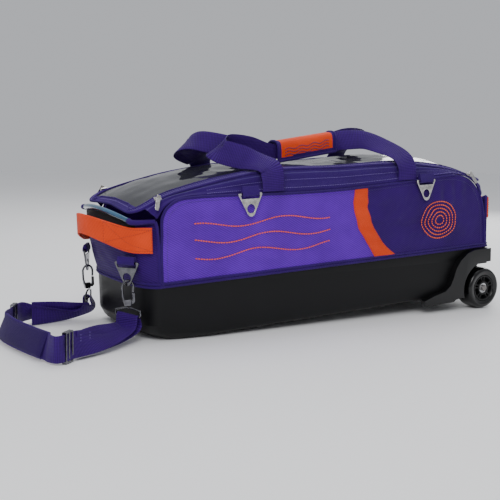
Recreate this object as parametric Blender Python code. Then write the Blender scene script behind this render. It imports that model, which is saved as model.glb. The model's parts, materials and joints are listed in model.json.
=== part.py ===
"""Three-ball rolling bowling bag with a clip-on pull strap.

The bag is drawn square in its own frame: the underside of the tub is z = 0, x runs from the handle
end (-x) to the wheel end (+x), and y = 0 is the middle plane.  Everything hangs under one empty that
leans the bag onto its two wheels and the front edge of the tub, the way it stands on a floor.
Units are metres.
"""
import math

import bmesh
import bpy
from mathutils import Matrix, Vector

# ---------------------------------------------------------------- driving dimensions
HALF_LENGTH = 0.400          # corner to corner along the straight sides
HALF_WIDTH = 0.1325
TUB_HEIGHT = 0.100
TUB_WALL = 0.005
FRONT_BULGE = 0.031          # how far the end walls bow out at the tub
REAR_BULGE = 0.020
FABRIC = 0.006               # padded side and end walls
GAP = 0.0005                 # clearance between neighbouring pieces
PANEL_PUFF = 0.004
STRAP_WIDTH = 0.045          # pull strap
WEB_THICK = 0.0018

LEAN_FROM = -0.375           # x of the tub edge that touches the floor
LEAN = math.atan(0.0462)     # wheel end raised
CENTRE_SHIFT = (0.1051, 0.0246, 0.0001)    # puts the middle of the whole at the origin

WHEEL_X = 0.382
WHEEL_Z = 0.0107
WHEEL_R = 0.0455
WHEEL_WIDTH = 0.050
WHEEL_FACE = 0.1525          # outer face of the wheels, from the middle plane
WELL_WALL = 0.0935           # notch in the tub for the wheel housings
WELL_FRONT = 0.328
WELL_TOP = 0.0745

BALL_R = 0.108
BALL_PITCH = 0.250
FOAM_FLOOR = 0.010
FOAM_TOP = 0.052

RING_WIDTH = 0.051
RING_HEIGHT = 0.042
RING_THICK = 0.003
END_RING = Vector((-0.447, 0.098, 0.147))      # bar centre of the far end ring
END_TURN = math.radians(32)                    # the end rings sit on the rounded corners
HOOK_TURN = math.radians(6)
HOOK_DROP = 0.0318           # ring bar to the top of the hook's loop
TAB_TOP = 0.1580
EYE_HALF = 0.0262
EYE_DROP = 0.0190

LID_HINGE = (0.124, 0.287)                     # y and z of the far zip line
LID_EDGE_Y = 0.119


# ---------------------------------------------------------------- helpers
def clear_scene():
    for obj in list(bpy.data.objects):
        bpy.data.objects.remove(obj, do_unlink=True)


def material(name, colour, roughness, metallic=0.0):
    found = bpy.data.materials.get(name)
    if found:
        return found
    made = bpy.data.materials.new(name)
    made.use_nodes = True
    shader = made.node_tree.nodes["Principled BSDF"]
    shader.inputs["Base Color"].default_value = (*colour, 1.0)
    shader.inputs["Roughness"].default_value = roughness
    shader.inputs["Metallic"].default_value = metallic
    return made


def bag_empty():
    empty = bpy.data.objects.new("bag_frame", None)
    bpy.context.scene.collection.objects.link(empty)
    turn = Matrix.Rotation(-LEAN, 4, "Y")
    pivot = Matrix.Translation((-LEAN_FROM, 0.0, 0.0))
    back = Matrix.Translation((LEAN_FROM, 0.0, 0.0))
    empty.matrix_world = Matrix.Translation(CENTRE_SHIFT) @ back @ turn @ pivot
    return empty


def add(name, bm, look, origin=(0, 0, 0), smooth=35):
    """Finish a bmesh drawn in the bag's frame as a named node with its origin at a chosen point."""
    bmesh.ops.remove_doubles(bm, verts=bm.verts, dist=1e-6)
    bmesh.ops.recalc_face_normals(bm, faces=bm.faces)
    bmesh.ops.translate(bm, verts=bm.verts, vec=-Vector(origin))
    mesh = bpy.data.meshes.new(name)
    bm.to_mesh(mesh)
    bm.free()
    mesh.shade_smooth()
    mesh.set_sharp_from_angle(angle=math.radians(smooth))
    mesh.materials.append(LOOKS[look])
    obj = bpy.data.objects.new(name, mesh)
    bpy.context.scene.collection.objects.link(obj)
    obj.parent = BAG
    obj.location = origin
    return obj


def cut(obj, cutter_bm, name):
    """Subtract a closed bmesh, drawn in the bag's frame, from an object."""
    bmesh.ops.recalc_face_normals(cutter_bm, faces=cutter_bm.faces)
    mesh = bpy.data.meshes.new(name)
    cutter_bm.to_mesh(mesh)
    cutter_bm.free()
    cutter = bpy.data.objects.new(name, mesh)
    bpy.context.scene.collection.objects.link(cutter)
    cutter.parent = BAG
    cutter.hide_render = True
    cutter.display_type = "WIRE"
    step = obj.modifiers.new(name, "BOOLEAN")
    step.operation = "DIFFERENCE"
    step.object = cutter
    return cutter


def join_shape(obj, other_bm, name):
    """Weld a closed bmesh, drawn in the bag's frame, onto an object."""
    cutter = cut(obj, other_bm, name)
    obj.modifiers[name].operation = "UNION"
    return cutter


def box(low, high):
    bm = bmesh.new()
    centre = [(a + b) / 2 for a, b in zip(low, high)]
    size = [b - a for a, b in zip(low, high)]
    place = Matrix.Translation(centre) @ Matrix.Diagonal((*size, 1.0))
    bmesh.ops.create_cube(bm, size=1.0, matrix=place)
    return bm


def loft(rings, close_ends=True, closed_loop=False):
    """Skin equal-length closed rings of points; the ends are capped or joined to each other."""
    bm = bmesh.new()
    rows = [[bm.verts.new(p) for p in ring] for ring in rings]
    pairs = list(zip(rows[:-1], rows[1:]))
    if closed_loop:
        pairs.append((rows[-1], rows[0]))
    for low, high in pairs:
        for i in range(len(low)):
            j = (i + 1) % len(low)
            bm.faces.new((low[i], low[j], high[j], high[i]))
    if close_ends and not closed_loop:
        bm.faces.new(rows[0][::-1])
        bm.faces.new(rows[-1])
    return bm


def slab(grid, offset):
    """Close a grid of points into a sheet with thickness; offset maps a point to its inner twin."""
    bm = bmesh.new()
    outer = [[bm.verts.new(p) for p in row] for row in grid]
    inner = [[bm.verts.new(offset(Vector(p))) for p in row] for row in grid]
    rows, columns = len(grid), len(grid[0])
    for i in range(rows - 1):
        for j in range(columns - 1):
            bm.faces.new((outer[i][j], outer[i][j + 1], outer[i + 1][j + 1], outer[i + 1][j]))
            bm.faces.new((inner[i][j], inner[i + 1][j], inner[i + 1][j + 1], inner[i][j + 1]))
    rim = [(0, j) for j in range(columns)] + [(i, columns - 1) for i in range(1, rows)]
    rim += [(rows - 1, j) for j in range(columns - 2, -1, -1)] + [(i, 0) for i in range(rows - 2, 0, -1)]
    for (a, b), (c, d) in zip(rim, rim[1:] + rim[:1]):
        bm.faces.new((outer[a][b], inner[a][b], inner[c][d], outer[c][d]))
    return bm


def smooth_path(points, steps):
    """Points on a Catmull-Rom curve through the given ones."""
    points = [Vector(p) for p in points]
    ends = [2 * points[0] - points[1]] + points + [2 * points[-1] - points[-2]]
    out = []
    for k in range(len(points) - 1):
        a, b, c, d = ends[k:k + 4]
        for s in range(steps):
            u = s / steps
            out.append(0.5 * (2 * b + (c - a) * u + (2 * a - 5 * b + 4 * c - d) * u ** 2
                              + (3 * b - a - 3 * c + d) * u ** 3))
    return out + [points[-1]]


def band(path, across, width, thick, steps=3):
    """Flat webbing along a curve; across gives the width direction at each of the path's points."""
    middle = smooth_path(path, steps)
    sideways = smooth_path(across, steps)
    widths = width if isinstance(width, (list, tuple)) else [width] * len(path)
    wide = [w.x for w in smooth_path([(w, 0, 0) for w in widths], steps)]
    rings = []
    for k, point in enumerate(middle):
        ahead = middle[min(k + 1, len(middle) - 1)] - middle[max(k - 1, 0)]
        ahead.normalize()
        side = sideways[k] - ahead * sideways[k].dot(ahead)
        side.normalize()
        up = ahead.cross(side) * (thick / 2)
        side = side * (wide[k] / 2)
        rings.append([point - side - up, point + side - up, point + side + up, point - side + up])
    return loft(rings)


def tube(path, radius, sides=8, closed=False):
    """Round bar along a polyline."""
    path = [Vector(p) for p in path]
    rings = []
    last_side = None
    for k, point in enumerate(path):
        if closed:
            ahead = path[(k + 1) % len(path)] - path[k - 1]
        else:
            ahead = path[min(k + 1, len(path) - 1)] - path[max(k - 1, 0)]
        ahead.normalize()
        side = last_side if last_side else ahead.orthogonal()
        side = (side - ahead * side.dot(ahead)).normalized()
        last_side = side
        other = ahead.cross(side)
        turn = [2 * math.pi * i / sides for i in range(sides)]
        rings.append([point + (side * math.cos(a) + other * math.sin(a)) * radius for a in turn])
    return loft(rings, closed_loop=closed)


def turned(profile, centre, segments=24):
    """Revolve (radius, y) points, listed round a closed outline, about the y line through centre."""
    rings = []
    for i in range(segments):
        angle = 2 * math.pi * i / segments
        c, s = math.cos(angle), math.sin(angle)
        rings.append([(centre[0] + r * c, centre[1] + y, centre[2] + r * s) for r, y in profile])
    return loft(rings, closed_loop=True)


def plate(outline, place, thick):
    """Flat plate: an outline of (u, v) points, thickened evenly and placed by a matrix."""
    faces = [[place @ Vector((u, v, w)) for u, v in outline] for w in (-thick / 2, thick / 2)]
    return loft(faces)


def arc(centre, radius, start, end, count):
    """Points on a circle, angles in degrees."""
    out = []
    for k in range(count + 1):
        angle = math.radians(start + (end - start) * k / count)
        out.append((centre[0] + radius * math.cos(angle), centre[1] + radius * math.sin(angle)))
    return out


def blend(value, low, high):
    t = min(1.0, max(0.0, (value - low) / (high - low)))
    return t * t * (3 - 2 * t)


def along(points, x):
    """Smooth curve through (x, value) points, read at x."""
    if x <= points[0][0]:
        return points[0][1]
    for k in range(len(points) - 1):
        (x0, v0), (x1, v1) = points[k:k + 2]
        if x <= x1:
            before = points[k - 1] if k else points[k]
            after = points[k + 2] if k + 2 < len(points) else points[k + 1]
            m0 = (v1 - before[1]) / (x1 - before[0])
            m1 = (after[1] - v0) / (after[0] - x0)
            u, span = (x - x0) / (x1 - x0), x1 - x0
            return ((2 * u ** 3 - 3 * u ** 2 + 1) * v0 + (u ** 3 - 2 * u ** 2 + u) * span * m0
                    + (3 * u ** 2 - 2 * u ** 3) * v1 + (u ** 3 - u ** 2) * span * m1)
    return points[-1][1]


def floor_point(x, y, height):
    """A point at a height above the floor, in the bag's own leaning frame."""
    normal = Vector((math.sin(LEAN), 0.0, math.cos(LEAN)))
    on_floor = Vector((x, y, -math.tan(LEAN) * (x - LEAN_FROM)))
    return on_floor + normal * height


# ---------------------------------------------------------------- the bag's own curves
def bow(t):
    """Plan shape of an end wall, 0 at the corners and 1 in the middle."""
    return max(0.0, 1 - abs(t) ** 4) ** (1 / 1.5)


def plan(end_count=12, side_count=8, inset=0.0):
    """The tub's outline seen from above, anticlockwise, as (x, y) points."""
    wide = HALF_WIDTH - inset
    steps = [math.sin(math.pi / 2 * (2 * k / end_count - 1)) for k in range(end_count + 1)]
    rear = [(HALF_LENGTH - inset * 0.4 + (REAR_BULGE - inset * 0.6) * bow(t), t * wide) for t in steps]
    front = [(-HALF_LENGTH + inset * 0.4 - (FRONT_BULGE - inset * 0.6) * bow(t), -t * wide) for t in steps]
    far = [(HALF_LENGTH - (k / side_count) * 2 * HALF_LENGTH, wide) for k in range(1, side_count)]
    near = [(-x, -y) for x, y in far]
    return rear + far + front + near


LID_EDGE = [(-0.440, 0.240), (-0.400, 0.257), (-0.350, 0.269), (-0.250, 0.287), (-0.150, 0.298),
            (0.000, 0.296), (0.150, 0.296), (0.250, 0.286), (0.320, 0.272), (0.395, 0.247)]
PIPING_TOP = [(-0.360, 0.257), (-0.300, 0.2585), (-0.200, 0.255), (-0.100, 0.252), (0.020, 0.252),
              (0.150, 0.257), (0.240, 0.262), (0.300, 0.266)]


CROWN = [(-0.440, 0.004), (-0.300, 0.014), (-0.200, 0.009), (-0.100, 0.006), (0.050, 0.006),
         (0.180, 0.016), (0.300, 0.020), (0.400, 0.014)]


def lid_z(x, y):
    """Height of the lid: arched along the bag and crowned across it, pressed down under the straps."""
    across = min(1.0, abs(y) / LID_EDGE_Y)
    return along(LID_EDGE, x) + along(CROWN, x) * (1 - across ** 2.2)


GUSSET_LOW = [(-0.380, 0.2475)] + PIPING_TOP + [(0.335, 0.2572), (0.366, 0.2430)]


def side_outline():
    """Side panel outline in x and z, from above the lower front corner, over the top, to the rear."""
    front = [(-0.3955, 0.160), (-0.392, 0.205)]
    front += [(x, z) for x, z in arc((-0.352, 0.214), 0.041, 172, 102, 5)]
    top = [(x, along(PIPING_TOP, x)) for x in (-0.33, -0.25, -0.17, -0.09, 0.0, 0.09, 0.17, 0.25)]
    return front + top + [(0.300, 0.2645), (0.335, 0.258), (0.364, 0.240), (0.382, 0.212), (0.392, 0.170)]


# ---------------------------------------------------------------- tub and what lies in it
def tub_rounding(x):
    """Run and rise of the tub's rounded lower edge: large under the front end, small elsewhere."""
    front = blend(-x, 0.355, 0.400)
    return 0.010 + 0.046 * front, 0.010 + 0.022 * front


def base_tub():
    outer = plan()
    rings = []
    for degrees in (0, 30, 60, 90):
        a = math.radians(degrees)
        ring = []
        for x, y in outer:
            run, rise = tub_rounding(x)
            inset = run * (1 - math.sin(a))
            ring.append((x * (1 - inset / (HALF_LENGTH + FRONT_BULGE)),
                         y * (1 - min(inset, 0.012) / HALF_WIDTH), rise * (1 - math.cos(a))))
        rings.append(ring)
    rings.append([(x, y, TUB_HEIGHT) for x, y in outer])
    inner = plan(inset=TUB_WALL)
    rings.append([(x, y, TUB_HEIGHT) for x, y in inner])
    rings.append([(x, y, 0.034) for x, y in inner])
    rings.append([(x * 0.93, y * 0.90, TUB_WALL + 0.001) for x, y in inner])
    tub = add("base_tub", loft(rings), "moulded")
    for name, side in (("well_cut_near", -1), ("well_cut_far", 1)):
        ys = sorted((side * WELL_WALL, side * 0.17))
        cut(tub, box((WELL_FRONT, ys[0], -0.02), (0.46, ys[1], WELL_TOP)), name)


def base_board():
    add("base_board", box((-0.350, -0.080, TUB_WALL + 0.0015), (0.350, 0.080, FOAM_FLOOR - GAP)), "board")


def foam_base():
    foam = add("foam_base", box((-0.372, -0.088, FOAM_FLOOR), (0.372, 0.088, FOAM_TOP)), "foam")
    for k, x in enumerate((-BALL_PITCH, 0.0, BALL_PITCH)):
        bm = bmesh.new()
        place = Matrix.Translation((x, 0, FOAM_FLOOR + 0.009 + BALL_R))
        bmesh.ops.create_uvsphere(bm, u_segments=20, v_segments=14, radius=BALL_R, matrix=place)
        cut(foam, bm, "ball_cup_%d" % k)


def dividers():
    for name, x in (("divider_front", -BALL_PITCH / 2), ("divider_rear", BALL_PITCH / 2)):
        outline = [(-0.118, 0.0), (0.118, 0.0), (0.124, 0.050)] + arc((0.109, 0.125), 0.015, 0, 90, 3)
        outline += arc((-0.109, 0.125), 0.015, 90, 180, 3) + [(-0.124, 0.050)]
        place = Matrix(((0, 0, 1, x), (1, 0, 0, 0), (0, 1, 0, FOAM_TOP + GAP), (0, 0, 0, 1)))
        add(name, plate(outline, place, 0.010), "lining")


# ---------------------------------------------------------------- fabric walls
def side_panels():
    edge = side_outline()
    for name, side in (("side_panel_near", -1), ("side_panel_far", 1)):
        grid = []
        for k, (x1, z1) in enumerate(edge):
            share = k / (len(edge) - 1)
            x0, z0 = -0.3955 + 0.792 * share, TUB_HEIGHT + GAP
            row = []
            for j in range(7):
                u = j / 6
                puff = PANEL_PUFF * math.sin(math.pi * share) ** 0.5 * math.sin(math.pi * u)
                row.append((x0 + (x1 - x0) * u, side * (HALF_WIDTH + puff), z0 + (z1 - z0) * u))
            grid.append(row)
        inner = side * (HALF_WIDTH - FABRIC)
        add(name, slab(grid, lambda p, y=inner: Vector((p.x, y, p.z))), "purple")


def bead_point(y, end):
    """Top edge of an end wall: bowed out in plan and arched."""
    s = (y - 0.010) / 0.110
    if end < 0:
        return Vector((-0.457 + 0.017 * s * s, y, 0.2375 - 0.0165 * ((y - 0.02) / 0.12) ** 2))
    return Vector((0.418 - 0.016 * s * s, y, 0.214 - 0.012 * (y / 0.11) ** 2))


def end_wall_point(t, level, end):
    """Outer face of an end wall: t from corner to corner, level from the tub up to the bead."""
    bulge = FRONT_BULGE if end < 0 else REAR_BULGE
    low = Vector((end * (HALF_LENGTH + bulge * bow(t)), t * HALF_WIDTH, TUB_HEIGHT + GAP))
    top = bead_point(t * 0.118, end) - Vector((end * 0.002, 0, 0.0070))
    corner = Vector((end * 0.4025, t * 0.1300, 0.2215 if end < 0 else 0.2125))
    top = top.lerp(corner, blend(abs(t), 0.82, 1.0))
    return low.lerp(top, level) + Vector((end * 0.007 * math.sin(math.pi * level) * (1 - t * t), 0, 0))


def end_walls():
    for name, end in (("end_wall_front", -1), ("end_wall_rear", 1)):
        columns = [math.sin(math.pi / 2 * (k / 9 - 1)) for k in range(19)]
        grid = [[end_wall_point(t, level, end) for t in columns] for level in (0.0, 0.25, 0.5, 0.75, 1.0)]

        def inward(p, end=end):
            return Vector((p.x - end * FABRIC * (1 - 0.5 * abs(p.y) / HALF_WIDTH),
                           p.y * (1 - 0.0045 / HALF_WIDTH), p.z))
        add(name, slab(grid, inward), "dark_purple")


def end_beads():
    for name, end in (("end_bead_front", -1), ("end_bead_rear", 1)):
        path = [bead_point(-0.104 + 0.208 * k / 14, end) for k in range(15)]
        add(name, tube(path, 0.0045, 8), "teal")


def gussets():
    """The zip band between a side panel and the lid, running down the corners at both ends."""
    for name, side in (("gusset_near", -1), ("gusset_far", 1)):
        grid = []
        for x in (-0.380, -0.345, -0.30, -0.25, -0.20, -0.15, -0.08, 0.0, 0.08, 0.15, 0.20, 0.25, 0.30,
                  0.335, 0.366):
            low_z = along(GUSSET_LOW, x)
            top_z = along(LID_EDGE, x) - 0.0055
            row = []
            for j in range(4):
                u = j / 3
                row.append((x, side * (HALF_WIDTH - 0.0005 - 0.0125 * u ** 1.5),
                            low_z + 0.0030 + (top_z - low_z - 0.0030) * u))
            grid.append(row)
        front = [(-0.4005, HALF_WIDTH - 0.002, 0.2245), (-0.4065, 0.1265, 0.2305),
                 (-0.4125, 0.1235, 0.2365), (-0.4185, 0.1205, 0.2425)]
        rear = [(0.3865, HALF_WIDTH - 0.002, 0.2150), (0.3915, 0.1275, 0.2230),
                (0.397, 0.1245, 0.2305), (0.402, 0.1205, 0.2370)]
        grid.insert(0, [(x, side * y, z) for x, y, z in front])
        grid.append([(x, side * y, z) for x, y, z in rear])
        add(name, slab(grid[::side], lambda p, s=side: p - Vector((0, s * 0.004, 0))), "dark_purple")


# ---------------------------------------------------------------- lid
def lid_grid(x_low, x_high, y_low, y_high, columns, rows):
    grid = []
    for i in range(columns + 1):
        x = x_low + (x_high - x_low) * i / columns
        row = []
        for j in range(rows + 1):
            y = y_low + (y_high - y_low) * j / rows
            row.append((x, y, lid_z(x, y)))
        grid.append(row)
    return grid


def lid():
    hinge = (0.0, LID_HINGE[0], LID_HINGE[1])
    thin = 0.0035
    frame = add("lid_frame", slab(lid_grid(-0.437, 0.400, -LID_EDGE_Y, LID_EDGE_Y, 22, 8),
                                  lambda p: p - Vector((0, 0, thin))), "dark_purple", hinge)
    window = slab(lid_grid(-0.424, 0.385, -0.104, 0.104, 22, 8), lambda p: p - Vector((0, 0, 0.0012)))
    cut(frame, box((-0.4245, -0.1045, 0.20), (0.3855, 0.1045, 0.36)), "window_hole")
    add("lid_window", window, "clear", hinge)


# ---------------------------------------------------------------- handles and carry straps
def end_handles():
    """Grab handles, sewn to both corners of each end and bowed clear for the fingers."""
    for name, end in (("end_handle_front", -1), ("end_handle_rear", 1)):
        reach, rise = (0.030, 0.024) if end < 0 else (0.024, 0.010)
        path, widths = [], []
        for k in range(17):
            t = -0.94 + 1.88 * k / 16
            open_out = max(0.0, 1 - (t / 0.70) ** 2) ** 0.7
            wall = end_wall_point(t, 0.66, end)
            run = end_wall_point(t + 0.02, 0.66, end) - end_wall_point(t - 0.02, 0.66, end)
            clear = Vector((end * abs(run.y), run.x * end * -1, 0)).normalized() * 0.0078
            path.append(Vector((wall.x + end * reach * open_out, wall.y, 0.187 + rise * open_out)) + clear)
            widths.append(0.046 - 0.009 * open_out)
        add(name, band(path, [(0, 0, 1)] * len(path), widths, 0.0035, steps=2), "orange")


def carry_straps():
    """Two webbing loops, sewn below the zips, slack at their front ends and joined by the wrap."""
    flat, up = (1, 0, 0), (0, 0, 1)
    front, rear = -0.161, 0.168
    near = [(front, -0.1365, 0.259), (front, -0.1355, 0.285), (front - 0.004, -0.1265, 0.3055),
            (front - 0.030, -0.098, 0.3190), (front - 0.075, -0.062, 0.3360),
            (front - 0.050, -0.036, 0.3440), (front + 0.020, -0.027, 0.3370), (-0.092, -0.024, 0.3275),
            (-0.070, -0.024, 0.3265), (-0.010, -0.024, 0.3330), (0.055, -0.024, 0.3400),
            (0.082, -0.028, 0.3440), (0.120, -0.050, 0.3440), (0.148, -0.085, 0.3290),
            (rear - 0.004, -0.1180, 0.3120), (rear, -0.1350, 0.290), (rear, -0.1365, 0.262)]
    across = [flat, flat, flat, (0.9, -0.3, 0.25), (0.3, -0.2, 0.9), up, up, up, up, up, up, up,
              (0.4, 0.2, 0.85), (0.9, 0.1, 0.35), flat, flat, flat]
    widths = [0.048] * 6 + [0.044, 0.031, 0.028, 0.028, 0.028, 0.038] + [0.048] * 5
    add("carry_strap_near", band(near, across, widths, WEB_THICK, 3), "web", (0, -0.1365, 0.262))
    far = [(front - 0.010, 0.1365, 0.259), (front - 0.010, 0.1355, 0.285), (front - 0.014, 0.1265, 0.3055),
           (front - 0.040, 0.098, 0.3190), (front - 0.092, 0.060, 0.3380),
           (front - 0.076, 0.026, 0.3520), (front - 0.010, 0.006, 0.3400), (-0.092, -0.006, 0.3275),
           (-0.070, -0.008, 0.3265), (-0.010, -0.008, 0.3330), (0.055, -0.008, 0.3400),
           (0.084, -0.004, 0.3440), (0.140, 0.012, 0.3480), (0.176, 0.050, 0.3440),
           (rear + 0.016, 0.0980, 0.3260), (rear + 0.014, 0.1245, 0.308), (rear + 0.014, 0.1355, 0.288),
           (rear + 0.014, 0.1365, 0.262)]
    across = [flat, flat, flat, (0.9, 0.3, 0.25), (0.3, 0.2, 0.9), up, up, up, up, up, up, up, up,
              (0.3, -0.1, 0.9), (0.8, -0.2, 0.4), flat, flat, flat]
    widths = [0.048] * 6 + [0.044, 0.031, 0.028, 0.028, 0.028, 0.038] + [0.048] * 6
    add("carry_strap_far", band(far, across, widths, WEB_THICK, 3), "web", (0, 0.1365, 0.262))


def handle_wrap():
    """Padded grip folded over both carry straps, open along its lower edge."""
    outer = [(-0.034, 0.000), (-0.0335, 0.026)] + arc((-0.0215, 0.0290), 0.0120, 180, 90, 3)
    outer += arc((-0.0075, 0.0290), 0.0120, 90, 0, 3) + [(0.0050, 0.024), (0.0055, 0.006)]
    inner = [(0.0005, 0.006), (0.0000, 0.024)] + arc((-0.0075, 0.0290), 0.0070, 0, 90, 3)
    inner += arc((-0.0215, 0.0290), 0.0070, 90, 180, 3) + [(-0.0288, 0.026), (-0.0290, 0.000)]
    rings = []
    for k in range(5):
        u = k / 4
        rings.append([(-0.080 + 0.140 * u, y, 0.3062 + 0.0150 * u + z) for y, z in outer + inner])
    add("handle_wrap", loft(rings), "orange", (0, -0.1365, 0.262))


# ---------------------------------------------------------------- rings, tabs, hooks
def ring_outline():
    """Triangular ring, bar across the top, u across and v up from the bar's centre line."""
    half = RING_WIDTH / 2
    pts = arc((half - 0.003, -0.001), 0.003, -20, 90, 3) + arc((-half + 0.003, -0.001), 0.003, 90, 200, 3)
    return pts + arc((0, -RING_HEIGHT + 0.0085), 0.0085, 205, 335, 5)


def web_slot():
    return [(-0.0205, -0.0025), (0.0205, -0.0025), (0.0190, -0.0085), (-0.0190, -0.0085)]


def ring_frame(bar, across, down):
    """Matrix whose u axis runs along the bar and whose v axis points up the ring."""
    across, down = Vector(across).normalized(), Vector(down).normalized()
    facing = across.cross(-down)
    matrix = Matrix.Identity(4)
    for column, axis in enumerate((across, -down, facing)):
        for row in range(3):
            matrix[row][column] = axis[row]
    return Matrix.Translation(bar) @ matrix


def add_ring(name, place):
    ring = add(name, plate(ring_outline(), place, RING_THICK), "gunmetal", tuple(place.translation))
    cut(ring, plate(web_slot(), place, 0.01), name + "_slot")
    cut(ring, plate(arc((0, -0.0270), 0.0085, 0, 337.5, 15), place, 0.01), name + "_hole")
    return ring


def side_rings():
    for name, x, z in (("front", -0.2145, 0.2575), ("rear", 0.2155, 0.2585)):
        place = ring_frame((x, -0.1405, z), (1, 0, 0), (0, -0.05, -1))
        add_ring("side_ring_" + name, place)
        add("side_tab_" + name, tab_strip(place, 0.0145), "web")


def tab_strip(place, up_to):
    """Webbing folded through a ring's slot and over its bar, closed against the bag above it."""
    half = 0.0180
    r_in = 0.0033
    r_out = r_in + 0.0014
    outer = [(r_out, 0.0)] + arc((0, 0), r_out, 0, -180, 8)[1:]
    outer += [(-r_out, 0.004), (-0.0022, up_to), (0.0022, up_to), (r_out, 0.004)]
    inner = arc((0, 0), r_in, 0, 360, 12)[:-1]
    solid = loft([[place @ Vector((u, v, w)) for w, v in outer] for u in (-half, half)])
    hollow = [[place @ Vector((u, v, w)) for w, v in inner] for u in (-half * 1.2, half * 1.2)]
    return punched(solid, loft(hollow))


def punched(solid, hollow):
    """Subtract one bmesh from another straight away and return the result as a bmesh."""
    meshes = []
    for bm in (solid, hollow):
        bmesh.ops.recalc_face_normals(bm, faces=bm.faces)
        mesh = bpy.data.meshes.new("punch")
        bm.to_mesh(mesh)
        bm.free()
        meshes.append(bpy.data.objects.new("punch", mesh))
        bpy.context.scene.collection.objects.link(meshes[-1])
    step = meshes[0].modifiers.new("punch", "BOOLEAN")
    step.operation = "DIFFERENCE"
    step.object = meshes[1]
    bpy.context.view_layer.update()
    shaped = meshes[0].evaluated_get(bpy.context.evaluated_depsgraph_get())
    out = bmesh.new()
    out.from_mesh(shaped.to_mesh())
    for obj in meshes:
        bpy.data.objects.remove(obj, do_unlink=True)
    return out


def end_rings():
    for name, side in (("near", -1), ("far", 1)):
        bar = Vector((END_RING.x, side * END_RING.y, END_RING.z))
        across = (-math.sin(END_TURN) * -side, math.cos(END_TURN), 0)
        place = ring_frame(bar, across, (0, 0, -1))
        add_ring("end_ring_" + name, place)
        add("end_tab_" + name, tab_strip(place, TAB_TOP - END_RING.z), "web")


def hook_frame(side):
    """The snap hook's frame: u across the loop, v up, turned away from its ring so that they link."""
    top = Vector((END_RING.x, side * END_RING.y, END_RING.z - HOOK_DROP))
    return ring_frame(top, (math.cos(HOOK_TURN), side * math.sin(HOOK_TURN), 0), (0, 0, -1))


def hooks():
    for name, side in (("near", -1), ("far", 1)):
        place = hook_frame(side)
        wire = 0.0021
        loop = [(0.0105 * math.sin(a), -0.0125 + 0.0125 * math.cos(a))
                for a in [math.radians(d) for d in (-100, -75, -50, -25, 0, 25, 50, 75, 100)]]
        shape = [(-0.0075, -0.036), (-0.0098, -0.028)] + loop + [(0.0098, -0.022)]
        path = smooth_path([place @ Vector((u, v, 0)) for u, v in shape], 1)
        frame = add("snap_hook_" + name, tube(path, wire, 8), "gunmetal", tuple(path[6]))
        block = [(-0.0095, -0.0345), (0.0035, -0.0345), (0.0045, -0.040),
                 (0.0035, -0.0455), (-0.0065, -0.0455)]
        join_shape(frame, plate(block, place, 0.0062), "hook_body_" + name)
        gate = [(0.0122, -0.0235), (0.0122, -0.040), (0.0088, -0.043), (0.0055, -0.043), (0.0055, -0.0385),
                (0.0078, -0.036), (0.0078, -0.0235)]
        pivot = place @ Vector((0.0085, -0.0405, 0))
        add("gate_" + name, plate(gate, place, 0.0045), "gunmetal", tuple(pivot))


def eye_place(side):
    """The swivel eye below a snap hook: its bar's middle and direction."""
    down = hook_frame(side) @ Vector((-0.001, -0.0458, 0))
    return down


def swivels():
    for name, side in (("near", -1), ("far", 1)):
        top = eye_place(side)
        across = eye_bar(side)[1]
        half = [(0.0000, -0.0030), (0.0110, -0.0042), (EYE_HALF, -0.0080), (EYE_HALF, -0.0160),
                (EYE_HALF - 0.0025, -EYE_DROP)]
        corners = half + [(-u, v) for u, v in half[:0:-1]]
        wire = [top + across * u + Vector((0, 0, v)) for u, v in corners]
        add("swivel_eye_" + name, tube(wire, 0.0018, 6, closed=True), "gunmetal", tuple(top))


# ---------------------------------------------------------------- pull strap
def eye_bar(side):
    """Middle and direction of the eye's straight bar."""
    across = Vector((side * math.sin(END_TURN), math.cos(END_TURN), 0.0))
    return eye_place(side) + Vector((0, 0, -EYE_DROP)), across


def strap_loop(side, run_in, run_out):
    """Webbing from the pad's end, over the eye's bar and back to where it is sewn to itself."""
    tall = floor_point(0, 0, 1) - floor_point(0, 0, 0)
    half = STRAP_WIDTH / 2 + 0.0008
    bar, across = eye_bar(side)
    across = across * -side
    out = Vector((-abs(across.y), side * abs(across.x), 0)).normalized()
    outer = [bar + out * 0.012 + Vector((0, 0, -0.018)), bar + out * 0.0045]
    inner = [bar - out * 0.0045, bar - out * 0.004 + Vector((0, 0, -0.018))]
    path = [floor_point(x, y, half + lift) for x, y, lift in run_in]
    path += outer + [bar + Vector((0, 0, 0.0042))] + inner
    path += [floor_point(x, y, half) for x, y in run_out]
    turning = (across * 0.35 + tall).normalized()
    tilt = (across + tall * 0.25).normalized()
    widths = [tall] * (len(run_in) - 1) + [turning, tilt, across, across, across, tilt, turning]
    return band(path, widths + [tall] * (len(run_out) - 1), STRAP_WIDTH, WEB_THICK, 3)


def pull_strap():
    near_in = [(-0.6235, -0.1665, 0.002), (-0.6245, -0.1850, 0.003), (-0.6195, -0.2000, 0.0032),
               (-0.6085, -0.1985, 0.0032), (-0.5955, -0.1890, 0.0032), (-0.5820, -0.1790, 0.0032),
               (-0.5300, -0.1500, 0.0), (-0.4880, -0.1230, 0.0)]
    near_out = [(-0.4780, -0.1130), (-0.5280, -0.1420), (-0.5740, -0.1695)]
    add("strap_web_near", strap_loop(-1, near_in, near_out), "web")
    far_in = [(-0.6435, 0.0135, 0.002), (-0.6215, 0.0460, 0.0032), (-0.6070, 0.0685, 0.0032),
              (-0.5930, 0.0900, 0.0032), (-0.5800, 0.1060, 0.002), (-0.5600, 0.1130, 0.0),
              (-0.5300, 0.1150, 0.0), (-0.4920, 0.1150, 0.0)]
    far_out = [(-0.4820, 0.1010), (-0.5240, 0.1030), (-0.5620, 0.1045)]
    add("strap_web_far", strap_loop(1, far_in, far_out), "web")


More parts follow.
